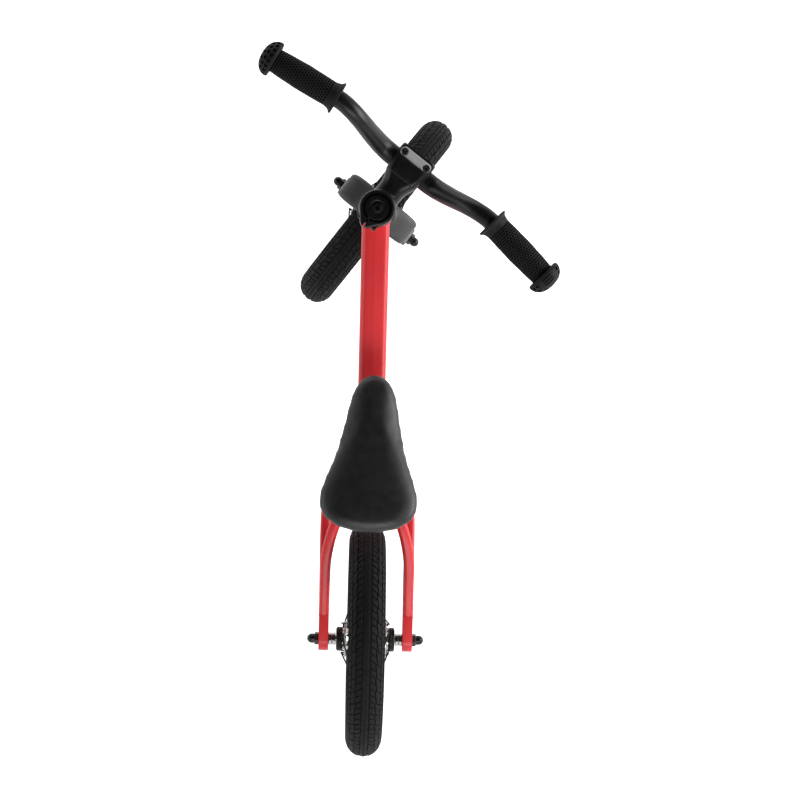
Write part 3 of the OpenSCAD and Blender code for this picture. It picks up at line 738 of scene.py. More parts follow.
def on_tyre(along, across, radius):
    """A point of the tyre skin: arc lengths in mm along the tread and across it."""
    around = along / OUTER_R
    section = across / TREAD_R
    r = TYRE_MID_R + radius * math.cos(section)
    return Vector((r * math.cos(around), r * math.sin(around), radius * math.sin(section))) * MM


def tread_block(bm, start, end, inner, outer, slope, side, rows=5, columns=4):
    """A bevelled block between two edges; inner and outer give the edges along its length."""
    chamfer = 0.4
    length = end - start
    cuts = [0, chamfer / length] + [i / rows for i in range(1, rows)] + [1 - chamfer / length, 1]
    grid = []
    for i, u in enumerate(cuts):
        low, high = inner(u), outer(u)
        width = high - low
        across = [0, chamfer / width] + [j / columns for j in range(1, columns)]
        across += [1 - chamfer / width, 1]
        line = []
        for j, v in enumerate(across):
            w = low + width * v
            rim = i in (0, len(cuts) - 1) or j in (0, len(across) - 1)
            radius = TREAD_R - (0.38 if rim else 0.0)
            line.append((start + length * u + slope * w, side * w, radius))
        grid.append(line)
    verts = [[bm.verts.new(on_tyre(*point)) for point in line] for line in grid]
    for a, b in zip(verts, verts[1:]):
        for j in range(len(a) - 1):
            bm.faces.new((a[j], a[j + 1], b[j + 1], b[j]))
    last = len(grid[0]) - 1
    ends = len(grid) - 1
    border = [(0, j) for j in range(last)] + [(i, last) for i in range(ends)]
    border += [(ends, j) for j in range(last, 0, -1)] + [(i, 0) for i in range(ends, 0, -1)]
    feet = [bm.verts.new(on_tyre(grid[i][j][0], grid[i][j][1], CARCASS_R - 0.4)) for i, j in border]
    for n, (i, j) in enumerate(border):
        m = (n + 1) % len(border)
        k = border[m]
        bm.faces.new((verts[i][j], verts[k[0]][k[1]], feet[m], feet[n]))
    bm.faces.new(feet)


def stud(bm, corners, side, radius):
    """A small four-sided stud on the tyre skin."""
    top = [bm.verts.new(on_tyre(s, side * w, radius)) for s, w in corners]
    foot = [bm.verts.new(on_tyre(s, side * w, CARCASS_R - 0.3)) for s, w in corners]
    bm.faces.new(top)
    bm.faces.new(reversed(foot))
    for j in range(4):
        k = (j + 1) % 4
        bm.faces.new((top[j], foot[j], foot[k], top[k]))


def line(a, b):
    return lambda u: a + (b - a) * u


def tread_segment():
    """The blocks of one double pitch on both sides of the central rib."""
    bm = bmesh.new()
    run = PITCH - GROOVE
    for side in (-1, 1):
        tread_block(bm, 0, run, line(5.7, 5.7), line(11.6, 12.6), CHEVRON, side)
        tread_block(bm, PITCH, PITCH + run, line(5.7, 5.7), line(13.0, 14.0), CHEVRON, side)
        middle = PITCH / (2 * PITCH - GROOVE)

        def inner(u):
            step = 0.5 if u > middle else 0.0
            return 12.8 + 2.2 * u + step * 0.4
        tread_block(bm, 0.3, 2 * PITCH - GROOVE + 0.3, inner, line(20.6, 20.6), CHEVRON, side, 8, 3)
        for start in (0.5, PITCH + 0.5):
            tread_block(bm, start + 9, start + 9 + run, line(21.6, 21.6), line(26.4, 26.4),
                        0.25, side, 3, 2)
        seam_count = 13
        seam = 2 * PITCH / seam_count
        for i in range(seam_count):
            low, high = i * seam, i * seam + seam * 0.55
            corners = [(low, 4.55), (high, 4.55), (high, 5.25), (low, 5.25)]
            stud(bm, corners, side, CARCASS_R + 0.75)
            low, high = i * seam, i * seam + seam * 0.5
            corners = [(low, 0), (high, 0), (high, 1.1), (low, 1.1)]
            stud(bm, corners, side, TREAD_R)
    return obj_from_bmesh("tread", bm, TYRE, 25)


def tyre_skin():
    """The carcass: central rib, smooth sidewalls with fine ridges, and two beads."""
    def skin(angle, radius):
        a = math.radians(angle)
        return (TYRE_MID_R + radius * math.cos(a), radius * math.sin(a))

    half = []
    rib_edge = math.degrees(4.3 / TREAD_R)
    rib_r = TREAD_R - 0.3
    half += [skin(a, rib_r) for a in (0, rib_edge * 0.5, rib_edge * 0.9)]
    half += [skin(rib_edge, rib_r - 0.3), skin(rib_edge + 0.4, CARCASS_R + 0.2)]
    half += [skin(a, CARCASS_R) for a in range(15, 66, 6)]
    wall = TREAD_R - 0.35
    half += [skin(67, CARCASS_R), skin(69, wall)]
    ridges = (71, 77, 84, 97, 116, 134)
    for ridge in ridges:
        half += [skin(ridge, wall), skin(ridge + 0.7, wall + 0.35)]
        half += [skin(ridge + 1.6, wall + 0.35), skin(ridge + 2.3, wall)]
    half += [skin(a, wall) for a in (142, 149)]
    half += [(105.6, 10.6), (104.0, 9.8), (BEAD_R + 0.6, 9.8), (BEAD_R, 9.2), (BEAD_R, 7.4)]
    half += [(BEAD_R + 4, 7.2)]
    hollow = 19.7
    half += [(TYRE_MID_R + hollow * math.cos(math.radians(a)), hollow * math.sin(math.radians(a)))
             for a in range(158, 0, -15)]
    outline = half + [(TYRE_MID_R + hollow, 0)]
    outline += [(r, -z) for r, z in reversed(half)][:-1]
    return lathe("carcass", outline, TYRE, segments=208, radius=0, closed=True, angle=30)


def build_tyres():
    blocks = round_axle(tread_segment(), DOUBLE_PITCHES, 0.0, TYRE)
    tyre = joined("tyre", tyre_skin(), blocks)
    shade_by_angle(tyre, 28)
    for name, matrix in (("rear_tyre", REAR_WHEEL), ("front_tyre", FRONT_WHEEL)):
        finish_piece(copy_of(tyre, name + "_skin", matrix), name[:-5] + "_wheel", name)
    bpy.data.objects.remove(tyre)


# ---------------------------------------------------------------- handlebar and grips

BAR_RISE = 55
GRIP_SWEEP = math.radians(7.4)
BAR_HALF = 221
GRIP_LEN = 105
GRIP_START = BAR_HALF - GRIP_LEN * math.cos(GRIP_SWEEP)
GRIP_X = 8.6
BAR_END = GRIP_LEN - 8


def build_handlebar():
    half = [[0, 0, 0], [0, 25, 0], [0, 29, 0], [0.6, 42, 0.06 * BAR_RISE],
            [3, 62, 0.4 * BAR_RISE], [6, 80, 0.77 * BAR_RISE], [8.2, 96, 0.95 * BAR_RISE]]
    for reach in (-5, 0, 45, BAR_END):
        half.append([GRIP_X - reach * math.sin(GRIP_SWEEP),
                     GRIP_START + reach * math.cos(GRIP_SWEEP), BAR_RISE])
    dense = [tuple(p) for p in evened(smooth_stations(half, 8), 3)]
    path = evened([(x, -y, z) for x, y, z in reversed(dense[1:])] + dense, 3, 4)

    def radius(y):
        taper = min(1, max(0, (abs(y) - 32) / 48))
        return 12.7 - 1.6 * taper
    sections = [round_section(radius(p[1]), 40) for p in path]
    bar = sweep("handlebar_skin", path, sections, (1, 0, 0), BLACK)
    finish_piece(place(bar, STEERED_BAR), "steering", "handlebar")


def grip_radius(s):
    """Radius of the grip body between its flange and its end dome."""
    stations = ((12, 15.7), (28, 16.1), (48, 16.4), (68, 15.7), (87, 14.8))
    for (s0, r0), (s1, r1) in zip(stations, stations[1:]):
        if s <= s1:
            u = (s - s0) / (s1 - s0)
            u = u * u * (3 - 2 * u)
            return r0 + (r1 - r0) * u
    return stations[-1][1]


def dimpled_body(start, end, pitch):
    """The grip body: staggered round dimples in a web, as one closed skin of cells; the dimple floors
    take a darker rubber that is painted shade.
    """
    bm = bmesh.new()
    columns = 26
    rows = round((end - start) / pitch)
    row_h = (end - start) / rows
    sides = 16
    hole_r = 0.355

    def point(row, column, u, v, sink):
        s = start + (row + v) * row_h
        a = (column + u + 0.5 * (row % 2)) * math.tau / columns
        r = grip_radius(s) - sink
        return Vector((r * math.cos(a), r * math.sin(a), s)) * MM

    def square_point(i):
        step = i / sides * 4
        edge, t = int(step), step - int(step)
        return [(t, 0), (1, t), (1 - t, 1), (0, 1 - t)][edge]

    for row in range(rows):
        for column in range(columns):
            loops = [[point(row, column, *square_point(i), 0) for i in range(sides)]]
            for scale, sink in ((1.12, 0.0), (1.0, 0.14), (0.86, 1.3)):
                ring = []
                for i in range(sides):
                    a = (i / sides + 0.625) * math.tau
                    u = 0.5 + hole_r * scale * math.cos(a)
                    v = 0.5 + hole_r * scale * math.sin(a)
                    ring.append(point(row, column, u, v, sink))
                loops.append(ring)
            made = [[bm.verts.new(p) for p in loop] for loop in loops]
            for outer, inner in zip(made, made[1:]):
                for i in range(sides):
                    k = (i + 1) % sides
                    bm.faces.new((outer[i], outer[k], inner[k], inner[i]))
            floor = [bm.faces.new(made[-1])]
            for i in range(sides):
                k = (i + 1) % sides
                floor += [f for f in made[-1][i].link_faces if made[-1][k] in f.verts]
            # the floors and lowest walls take slot 1, the darker rubber: painted shade in the dimples
            for face in floor:
                face.material_index = 1
    bmesh.ops.remove_doubles(bm, verts=bm.verts, dist=0.00002)
    made = obj_from_bmesh("grip_body", bm, GRIP, 50)
    made.data.materials.append(GRIP_PAINTED_SHADE)
    return made


DOME_START = 87
DOME_LEN = 18
DOME_R = 22.2


def grip_ends():
    """Flange at the inner end, and a mushroom dome at the outer end."""
    flange = [(11.2, 0), (19.9, 0), (20.4, 0.8), (20.3, 2.2), (19.6, 2.8), (18.0, 4.0),
              (16.9, 6.0), (16.2, 8.6), (15.8, 11), (15.7, 12.05), (14.4, 12.05)]
    dome = [(13.6, DOME_START - 0.05), (14.8, DOME_START - 0.05), (15.4, DOME_START + 0.2),
            (19, DOME_START - 0.3), (21.4, DOME_START)]
    rim = DOME_START + 2.2
    for step in range(0, 13):
        a = math.radians(90 * step / 12)
        dome.append((DOME_R * math.cos(a) ** 0.85, rim + (DOME_LEN - 2.2) * math.sin(a)))
    dome[-1] = (0, DOME_START + DOME_LEN)
    return (lathe("grip_flange", flange, GRIP, radius=0.3, segments=72),
            lathe("grip_dome", dome, GRIP, radius=0.3, segments=96))


def dome_cutters():
    """Hexagonal holes in rows round the dome, and three slots on its upper side; their walls take the
    darker rubber that is painted shade.
    """
    bm = bmesh.new()
    rim = DOME_START + 2.2
    height = DOME_LEN - 2.2

    def hexagon(theta, around, size):
        centre = Vector((DOME_R * math.cos(theta) ** 0.85 * math.cos(around),
                         DOME_R * math.cos(theta) ** 0.85 * math.sin(around),
                         rim + height * math.sin(theta)))
        out = Vector((math.cos(theta) * math.cos(around), math.cos(theta) * math.sin(around),
                      math.sin(theta) * 1.25)).normalized()
        east = Vector((-math.sin(around), math.cos(around), 0))
        north = out.cross(east)
        if size > 0:
            shape = [(size * math.cos(t), size * math.sin(t)) for t in
                     (i * math.tau / 6 for i in range(6))]
        else:
            shape = [(7.2, -0.9), (7.2, 0.9), (-7.2, 0.9), (-7.2, -0.9)]
        rings = []
        for lift in (-2.2, 4.0):
            rings.append([bm.verts.new((centre + out * lift + east * e + north * n) * MM)
                          for e, n in shape])
        bm.faces.new(reversed(rings[0]))
        bm.faces.new(rings[1])
        for i in range(len(shape)):
            k = (i + 1) % len(shape)
            bm.faces.new((rings[0][i], rings[0][k], rings[1][k], rings[1][i]))

    up = math.pi / 2
    slot_reach = math.radians(40)
    for row, (theta, count) in enumerate(((12, 19), (34, 16), (55, 11), (76, 5))):
        for i in range(count):
            around = (i + 0.5 * (row % 2)) * math.tau / count
            off = abs((around - up + math.pi) % math.tau - math.pi)
            if row < 3 and off < slot_reach:
                continue
            hexagon(math.radians(theta), around, 2.7)
    for theta in (9, 23, 37):
        hexagon(math.radians(theta), up, 0)
    # the cutters carry the darker rubber onto the hole walls: painted shade inside the holes
    made = obj_from_bmesh("hexes", bm, GRIP_PAINTED_SHADE)
    return made


def build_grips():
    flange, dome = grip_ends()
    cutters = dome_cutters()
    modifier(dome, "BOOLEAN", operation="DIFFERENCE", object=cutters, solver="EXACT")
    bake(dome)
    bpy.data.objects.remove(cutters)
    modifier(dome, "BEVEL", width=0.00025, segments=2, limit_method="ANGLE",
             angle_limit=math.radians(50))
    bake(dome)
    grip = joined("grip", dimpled_body(12, DOME_START, 3.15), flange, dome)
    shade_by_angle(grip, 45)
    along = Vector((-math.sin(GRIP_SWEEP), math.cos(GRIP_SWEEP), 0))
    flat = Vector((0, 0, 1))
    local = basis(Vector((GRIP_X, GRIP_START, BAR_RISE)) * MM, along.cross(flat), flat, along)
    half_turn = Matrix.Rotation(math.pi, 4, "Z")
    for name, matrix in (("grip_left", STEERED_BAR @ local @ half_turn),
                         ("grip_right", STEERED_BAR @ MIRROR_Y @ local)):
        finish_piece(copy_of(grip, name + "_skin", matrix), "steering", name)
    bpy.data.objects.remove(grip)


# ---------------------------------------------------------------- saddle

def saddle_half_width(x):
    """Half width of the pear-shaped outline, x in mm ahead of the saddle's own origin."""
    stations = ((-110.8, 0), (-110, 17), (-107.6, 29.5), (-102, 43), (-93, 52.4), (-83, 57.6),
                (-74, 59.3), (-63, 58.2), (-42, 52.2), (-11, 42.6), (10, 37.6), (30, 33.2),
                (50, 29.6), (62, 26.3), (72, 22), (79, 16.3), (84, 9.8), (86.3, 4), (87, 0))
    for (x0, w0), (x1, w1) in zip(stations, stations[1:]):
        if x <= x1:
            return w0 + (w1 - w0) * (x - x0) / (x1 - x0)
    return 0


def saddle_shell():
    """The padded cover before it is filled: crowned top, full flanks and a lower edge pulled in."""
    bm = bmesh.new()
    tail, nose = -110.8, 87
    xs = [tail, tail + 0.4, tail + 1.4, -106.5, -101, -93, -84, -75, -62, -46, -30, -12, 6, 24, 40, 54,
          66, 74, 80, 84.5, 86.5, nose]
    around = 28
    rings = []
    for x in xs:
        half = saddle_half_width(x) * 0.98
        length_fade = max(0.0, min(1.0, (nose - x) / 22, (x - tail) / 22))
        swell = math.sqrt(1 - (1 - length_fade) ** 2)
        dip = 3.5 * math.exp(-((x - 8) / 42) ** 2)
        top = -1.5 - dip - (1 - swell) * 13
        bottom = -26.5 + (1 - swell) * 4
        middle = -16.5
        ring = []
        for i in range(around):
            a = i * math.tau / around
            c, s = math.cos(a), math.sin(a)
            y = half * math.copysign(abs(c) ** 0.72, c)
            if s >= 0:
                z = middle + (top - middle) * s ** 0.86
            else:
                z = middle + (middle - bottom) * math.copysign(abs(s) ** 0.6, s)
                y *= 1 - 0.05 * abs(s)
            ring.append(bm.verts.new(Vector((x, y, z)) * MM))
        rings.append(ring)
    for low, high in zip(rings, rings[1:]):
        for i in range(around):
            k = (i + 1) % around
            bm.faces.new((low[i], low[k], high[k], high[i]))
    bm.faces.new(rings[0])
    bm.faces.new(reversed(rings[-1]))
    bmesh.ops.remove_doubles(bm, verts=bm.verts, dist=0.0002)
    return obj_from_bmesh("saddle_shell", bm, LEATHER, 60)


def inflate(made, pressure=3.0, frames=16, limit=0.003):
    """Fills a closed skin by cloth simulation, keeping each point near where it began."""
    before = [v.co.copy() for v in made.data.vertices]
    cloth = made.modifiers.new("cloth", "CLOTH")
    settings = cloth.settings
    settings.quality = 6
    settings.mass = 0.3
    settings.tension_stiffness = 30
    settings.compression_stiffness = 30
    settings.bending_stiffness = 8
    settings.use_pressure = True
    settings.uniform_pressure_force = pressure
    settings.effector_weights.gravity = 0
    cloth.point_cache.frame_start = 1
    cloth.point_cache.frame_end = frames
    for step in range(1, frames + 1):
        scene.frame_set(step)
        bpy.context.view_layer.update()
    bake(made)
    for vert, start in zip(made.data.vertices, before):
        move = vert.co - start
        if move.length > limit:
            vert.co = start + move.normalized() * limit
    scene.frame_set(1)


def build_saddle_cover():
    cover = saddle_shell()
    modifier(cover, "SUBSURF", levels=1, render_levels=1)
    modifier(cover, "REMESH", mode="VOXEL", voxel_size=0.0042)
    modifier(cover, "SMOOTH", factor=0.6, iterations=12)
    bake(cover)
    inflate(cover)
    fit_to(cover, (-110.8, -59.3, -28.4), (87.2, 59.3, -0.3))
    for vert in cover.data.vertices:
        x, y, z = (v / MM for v in vert.co)
        # a tuck along the lower edge, where the cover is drawn over its base
        lower = math.exp(-((z + 25.5) / 2.6) ** 2)
        vert.co.x -= x / 90 * 1.6 * lower * MM
        vert.co.y -= math.copysign(min(abs(y), 30) / 30, y) * 1.6 * lower * MM
        vert.co.z = max(min(vert.co.z, -0.4 * MM), -28.5 * MM)
    modifier(cover, "SMOOTH", factor=0.5, iterations=4)
    modifier(cover, "SUBSURF", levels=2, render_levels=2)
    bake(cover)
    shade_by_angle(cover, 80)
    cover.name = "saddle_cover_leather"
    place(cover, ON_SADDLE)
    finish_piece(cover, "saddle", "saddle_cover")


def build_saddle_base():
    """Moulded base pan with a rolled rim that follows the cover."""
    bm = bmesh.new()
    rings = []
    count = 96
    profile = ((0.0, -33.8), (0.72, -33.8), (0.9, -33.2), (0.945, -31.6), (0.955, -29.4), (0.9, -29.1),
               (0.0, -29.1))
    outline = []
    for i in range(count):
        a = i * math.tau / count
        x = -11.9 + 98.9 * math.cos(a)
        outline.append((x, math.copysign(saddle_half_width(x), math.sin(a))))
    for scale, z in profile:
        rings.append([bm.verts.new(Vector(((x + 12) * scale - 12, y * scale, z)) * MM)
                      for x, y in outline] if scale > 0 else [bm.verts.new(Vector((-12, 0, z)) * MM)])
    for low, high in zip(rings, rings[1:]):
        for i in range(count):
            k = (i + 1) % count
            if len(low) == 1:
                bm.faces.new((low[0], high[k], high[i]))
            elif len(high) == 1:
                bm.faces.new((low[i], low[k], high[0]))
            else:
                bm.faces.new((low[i], low[k], high[k], high[i]))
    base = obj_from_bmesh("saddle_base_pan", bm, PLASTIC, 40)
    finish_piece(place(base, ON_SADDLE), "saddle", "saddle_base")


def build_saddle_rails():
    path = smooth_stations([[76, 6, -34], [60, 9, -38], [40, 17, -48], [28, 21, -52], [0, 21, -52],
                            [-28, 21, -52], [-46, 24, -48], [-66, 29, -38], [-80, 31, -33.5]], 8)
    sections = [round_section(3.4, 24)] * len(path)
    left = sweep("rail", path, sections, (0, 0, 1), ZINC)
    right = copy_of(left, "rail_right", MIRROR_Y)
    rails = joined("saddle_rail_pair", left, right)
    shade_by_angle(rails, 40)
    finish_piece(place(rails, ON_SADDLE), "saddle", "saddle_rails")


# ---------------------------------------------------------------- frame

def hit_tube(axis, tube_r, point, along):
    """Where a line meets a round tube; the nearer crossing, in mm."""
    turn = axis.inverted()
    p = turn @ (Vector(point) * MM) / MM
    d = (turn.to_3x3() @ Vector(along)).normalized()
    a = d.x * d.x + d.y * d.y
    b = 2 * (p.x * d.x + p.y * d.y)
    c = p.x * p.x + p.y * p.y - tube_r * tube_r
    root = b * b - 4 * a * c
    if root < 0:
        root = 0
    t = (-b - math.sqrt(root)) / (2 * a)
    return (axis @ ((p + d * t) * MM)) / MM


def weld_bead(name, loop, radius, closed=True):
    """A rippled bead laid along a line of points, in mm."""
    points = [Vector(p) for p in loop]
    if closed:
        points.append(points[0])
    lengths = [0.0]
    for a, b in zip(points, points[1:]):
        lengths.append(lengths[-1] + (b - a).length)
    step = 0.55
    count = max(8, int(lengths[-1] / step))
    dense = []
    j = 0
    for i in range(count + (0 if closed else 1)):
        want = lengths[-1] * i / count
        while j < len(points) - 2 and lengths[j + 1] < want:
            j += 1
        u = (want - lengths[j]) / max(1e-9, lengths[j + 1] - lengths[j])
        dense.append(points[j].lerp(points[j + 1], u))
    bm = bmesh.new()
    rings = []
    sides = 10
    total = len(dense)
    for i, point in enumerate(dense):
        after = dense[(i + 1) % total] if closed else dense[min(i + 1, total - 1)]
        before = dense[i - 1] if closed else dense[max(i - 1, 0)]
        along = (after - before).normalized()
        side = along.orthogonal().normalized()
        if i:
            side = (last_side - along * last_side.dot(along)).normalized()
        last_side = side
        rise = along.cross(side)
        phase = (lengths[-1] * i / count) / 2.2 * math.tau
        r = radius * (0.93 + 0.09 * math.cos(phase))
        rings.append([bm.verts.new((point + (side * math.cos(a) + rise * math.sin(a)) * r) * MM)
                      for a in (k * math.tau / sides for k in range(sides))])
    pairs = list(zip(rings, rings[1:]))
    for low, high in pairs:
        for i in range(sides):
            k = (i + 1) % sides
            bm.faces.new((low[i], low[k], high[k], high[i]))
    if closed:
        low, high = rings[-1], rings[0]
        shift = min(range(sides), key=lambda s: (low[0].co - high[s].co).length)
        for i in range(sides):
            k = (i + 1) % sides
            bm.faces.new((low[i], low[k], high[(k + shift) % sides], high[(i + shift) % sides]))
    else:
        bm.faces.new(rings[0])
        bm.faces.new(rings[-1])
    return obj_from_bmesh(name, bm, RED, 70)


def beam_section(w, h, r):
    """Box section whose top and bottom carry a soft crease along the middle."""
    crease = 0.9
    points = []
    for x, y in rounded_section(w, h - 2 * crease, r, 6):
        points.append((x, y))
    top = [(6, 0.55), (1.4, 0.88), (0, 1.0), (-1.4, 0.88), (-6, 0.55)]
    shaped = []
    for x, y in points:
        lift = crease * (1 - min(1.0, abs(x) / (w / 2 - r * 0.3)))
        shaped.append((x, y + math.copysign(lift, y) if abs(y) > h / 2 - r else y))
    result = []
    for i, point in enumerate(shaped):
        result.append(point)
        after = shaped[(i + 1) % len(shaped)]
        if point[1] > 0 and point[0] > 2 and after[0] < -2:
            result += [(x, h / 2 - crease + crease * lift) for x, lift in top]
        if point[1] < 0 and point[0] < -2 and after[0] > 2:
            result += [(-x, -h / 2 + crease - crease * lift) for x, lift in top]
    return result


BEAM_FRONT_T = 201 + 57
FOOT_MM = FOOT / MM
BEAM = [[FOOT_MM.x - BEAM_FRONT_T * math.sin(HEAD_TILT), 0,
         FOOT_MM.z + BEAM_FRONT_T * math.cos(HEAD_TILT), 34, 56],
        [430, 0, 362, 34, 50], [330, 0, 315.5, 34, 44], [222, 0, 266, 34, 38]]


def build_beam():
    dense = smooth_stations(BEAM, 10)
    start = Vector(dense[0][:3])
    way = (Vector(dense[0][:3]) - Vector(dense[1][:3])).normalized()
    path = [Vector(p[:3]) for p in dense]
    sections = [beam_section(p[3], p[4], 7) for p in dense]
    body = sweep("main_beam_skin", path, sections, (0, 0, 1), RED, angle=30)
    # the section's corners end on the head tube
    side = Vector((0, 1, 0))
    rise = way.cross(side).normalized()
    if rise.z < 0:
        rise = -rise
    loop = []
    for x, y in beam_section(34, 55, 7):
        off = Vector((430, 0, 362)) + side * x + rise * y
        loop.append(hit_tube(HEADED, 21.3, off, way))
    bead = weld_bead("beam_bead", loop, 2.0)
    rear = []
    back = (Vector(dense[-1][:3]) - Vector(dense[-2][:3])).normalized()
    rise = Vector((0, 1, 0)).cross(back).normalized()
    if rise.z < 0:
        rise = -rise
    for x, y in beam_section(33, 38, 7):
        off = Vector((330, 0, 315.5)) + side * (x * 0.93) + rise * y
        rear.append(hit_tube(SEATED, 16.3, off, back))
    bead2 = weld_bead("beam_rear_bead", rear, 1.8)
    beam = joined("main_beam_skin", body, bead, bead2)
    shade_by_angle(beam, 40)
    finish_piece(beam, "frame", "main_beam")


CHAIN_RISE = math.radians(8.5)
SEAT_RISE = math.radians(36)
FAN = 36
AXLE_Z = 148.5
DROPOUT_T = 12.5
HUB_W = 94
DROPOUT_Y = HUB_W / 2 + DROPOUT_T / 2


def plate(name, outline, low, high, material, radius=0.8, segments=3):
    """A flat plate from an outline in mm, rounded along its edges, thick along Z."""
    bm = bmesh.new()
    rings = [[bm.verts.new(Vector((x, y, z)) * MM) for x, y in outline] for z in (low, high)]
    bm.faces.new(reversed(rings[0]))
    bm.faces.new(rings[1])
    count = len(outline)
    for i in range(count):
        k = (i + 1) % count
        bm.faces.new((rings[0][i], rings[0][k], rings[1][k], rings[1][i]))
    made = obj_from_bmesh(name, bm, material)
    if radius > 0:
        modifier(made, "BEVEL", width=radius * MM, segments=segments, limit_method="ANGLE",
                 angle_limit=math.radians(60))
        bake(made)
    shade_by_angle(made, 35)
    return made


def dropout_outline():
    """Round eye at the axle, fanning out to the two stays."""
    slot_way = math.radians(-82)
    slot = 4.2
    points = []
    for degrees in range(-70, -83 + 360 - 12, 8):
        a = math.radians(degrees)
        points.append((15 * math.cos(a), 15 * math.sin(a)))
    tips = []
    for rise, half in ((CHAIN_RISE, 9.5), (SEAT_RISE, 7.8)):
        out = Vector((math.cos(rise), math.sin(rise)))
        side = Vector((-out.y, out.x))
        tips.append((out * FAN - side * half, out * FAN + side * half))
    lower = math.atan2(tips[0][0].y, tips[0][0].x) - math.radians(60)
    upper = math.atan2(tips[1][1].y, tips[1][1].x) + math.radians(55)
    kept = []
    for x, y in points:
        a = math.atan2(y, x)
        if a < lower or a > upper:
            kept.append((x, y))
    kept.sort(key=lambda p: (math.atan2(p[1], p[0]) - upper) % math.tau)
    before_slot = [p for p in kept if (math.atan2(p[1], p[0]) - upper) % math.tau
                   < (slot_way - upper) % math.tau - 0.3]
    after_slot = [p for p in kept if (math.atan2(p[1], p[0]) - upper) % math.tau
                  > (slot_way - upper) % math.tau + 0.3]
    down = Vector((math.cos(slot_way), math.sin(slot_way)))
    side = Vector((-down.y, down.x))
    mouth = []
    for offset, reach in ((-slot, 14.4), (-slot, 0)):
        q = down * reach + side * offset
        mouth.append((q.x, q.y))
    for step in range(1, 8):
        a = slot_way - math.pi / 2 - math.pi * step / 8
        mouth.append((slot * math.cos(a), slot * math.sin(a)))
    for offset, reach in ((slot, 0), (slot, 14.4)):
        q = down * reach + side * offset
        mouth.append((q.x, q.y))
    middle = (tips[0][1] + tips[1][0]) / 2 - Vector((math.cos(0.39), math.sin(0.39))) * 5
    fan = [tips[0][0], tips[0][1], middle, tips[1][0], tips[1][1]]
    return before_slot + mouth + after_slot + [(p.x, p.y) for p in fan]


def build_stays():
    chain = [[math.cos(CHAIN_RISE) * (FAN - 4), DROPOUT_Y, AXLE_Z + math.sin(CHAIN_RISE) * (FAN - 4),
              12.9, 18.8],
             [85, 53.6, 161, 13.4, 20], [150, 53.6, 170.5, 13.4, 20], [180, 50, 176, 13.4, 20],
             [210, 38, 182, 13.4, 20], [232, 23, 187, 13, 20], [242, 14, 189, 12, 20]]
    seat = [[math.cos(SEAT_RISE) * (FAN - 4), DROPOUT_Y + 0.2,
             AXLE_Z + math.sin(SEAT_RISE) * (FAN - 4), 12.9, 15],
            [60, 53, 192.5, 13, 15], [85, 52.4, 211, 13.4, 15], [105, 49, 225.5, 13.4, 15],
            [125, 42.6, 238.5, 13, 15], [152, 31, 252, 12, 15], [184, 18, 268, 12, 15],
            [214, 9.8, 282, 12, 15]]
    left = {}
    for name, stations in (("chain_stay", chain), ("seat_stay", seat)):
        dense = smooth_stations(stations, 8)
        body = sweep(name, [p[:3] for p in dense], [rounded_section(p[3], p[4], 4.2, 5) for p in dense],
                     (0, 0, 1), RED, angle=30)
        parts = [body]
        if name == "chain_stay":
            eye = plate("dropout", dropout_outline(), -DROPOUT_T / 2, DROPOUT_T / 2, RED, 1.2)
            parts.append(place(eye, Matrix.Translation((0, DROPOUT_Y * MM, AXLE_Z * MM))
                               @ Matrix.Rotation(math.radians(90), 4, "X")))
            way = (Vector(stations[-1][:3]) - Vector(stations[-2][:3])).normalized()
            side = Vector((0, 0, 1)).cross(way).normalized()
            rise = way.cross(side)
            loop = []
            for x, y in rounded_section(12.6, 20, 4, 4):
                start = Vector(stations[-2][:3]) + side * x + rise * y
                loop.append(hit_tube(SEATED, 16.4, start, way))
            parts.append(weld_bead("stay_end_bead", loop, 1.5))
        left[name] = joined(name + "_left_skin", *parts)
        shade_by_angle(left[name], 35)
    for name in left:
        right = copy_of(left[name], name + "_right_skin", MIRROR_Y)
        finish_piece(right, "frame", name + "_right")
        finish_piece(left[name], "frame", name + "_left")


def build_seat_tube():
    slot = block("slot", (-32, -1, -28), (0, 1, 12), RED)
    tube = lathe("seat_tube_skin", [(16, -128), (16, 0), (12.85, 0), (12.85, -128)], RED, segments=72,
                 radius=0.5, closed=True)
    modifier(tube, "BOOLEAN", operation="DIFFERENCE", object=slot, solver="EXACT")
    bake(tube)
    bpy.data.objects.remove(slot)
    shade_by_angle(tube, 30)
    finish_piece(place(tube, SEATED), "frame", "seat_tube")


def build_head_tube():
    tube = lathe("head_tube_skin", [(17, 201), (21, 201), (21, 301), (17, 301)], RED, HEADED, 96, 0.6,
                 closed=True)
    finish_piece(tube, "frame", "head_tube")


# ---------------------------------------------------------------- fork


FORK_DROPOUT_T = 9.5
CROWN_SHIFT = 5.5
CROWN_W = 105
LEG_OUT = HUB_W / 2 + FORK_DROPOUT_T


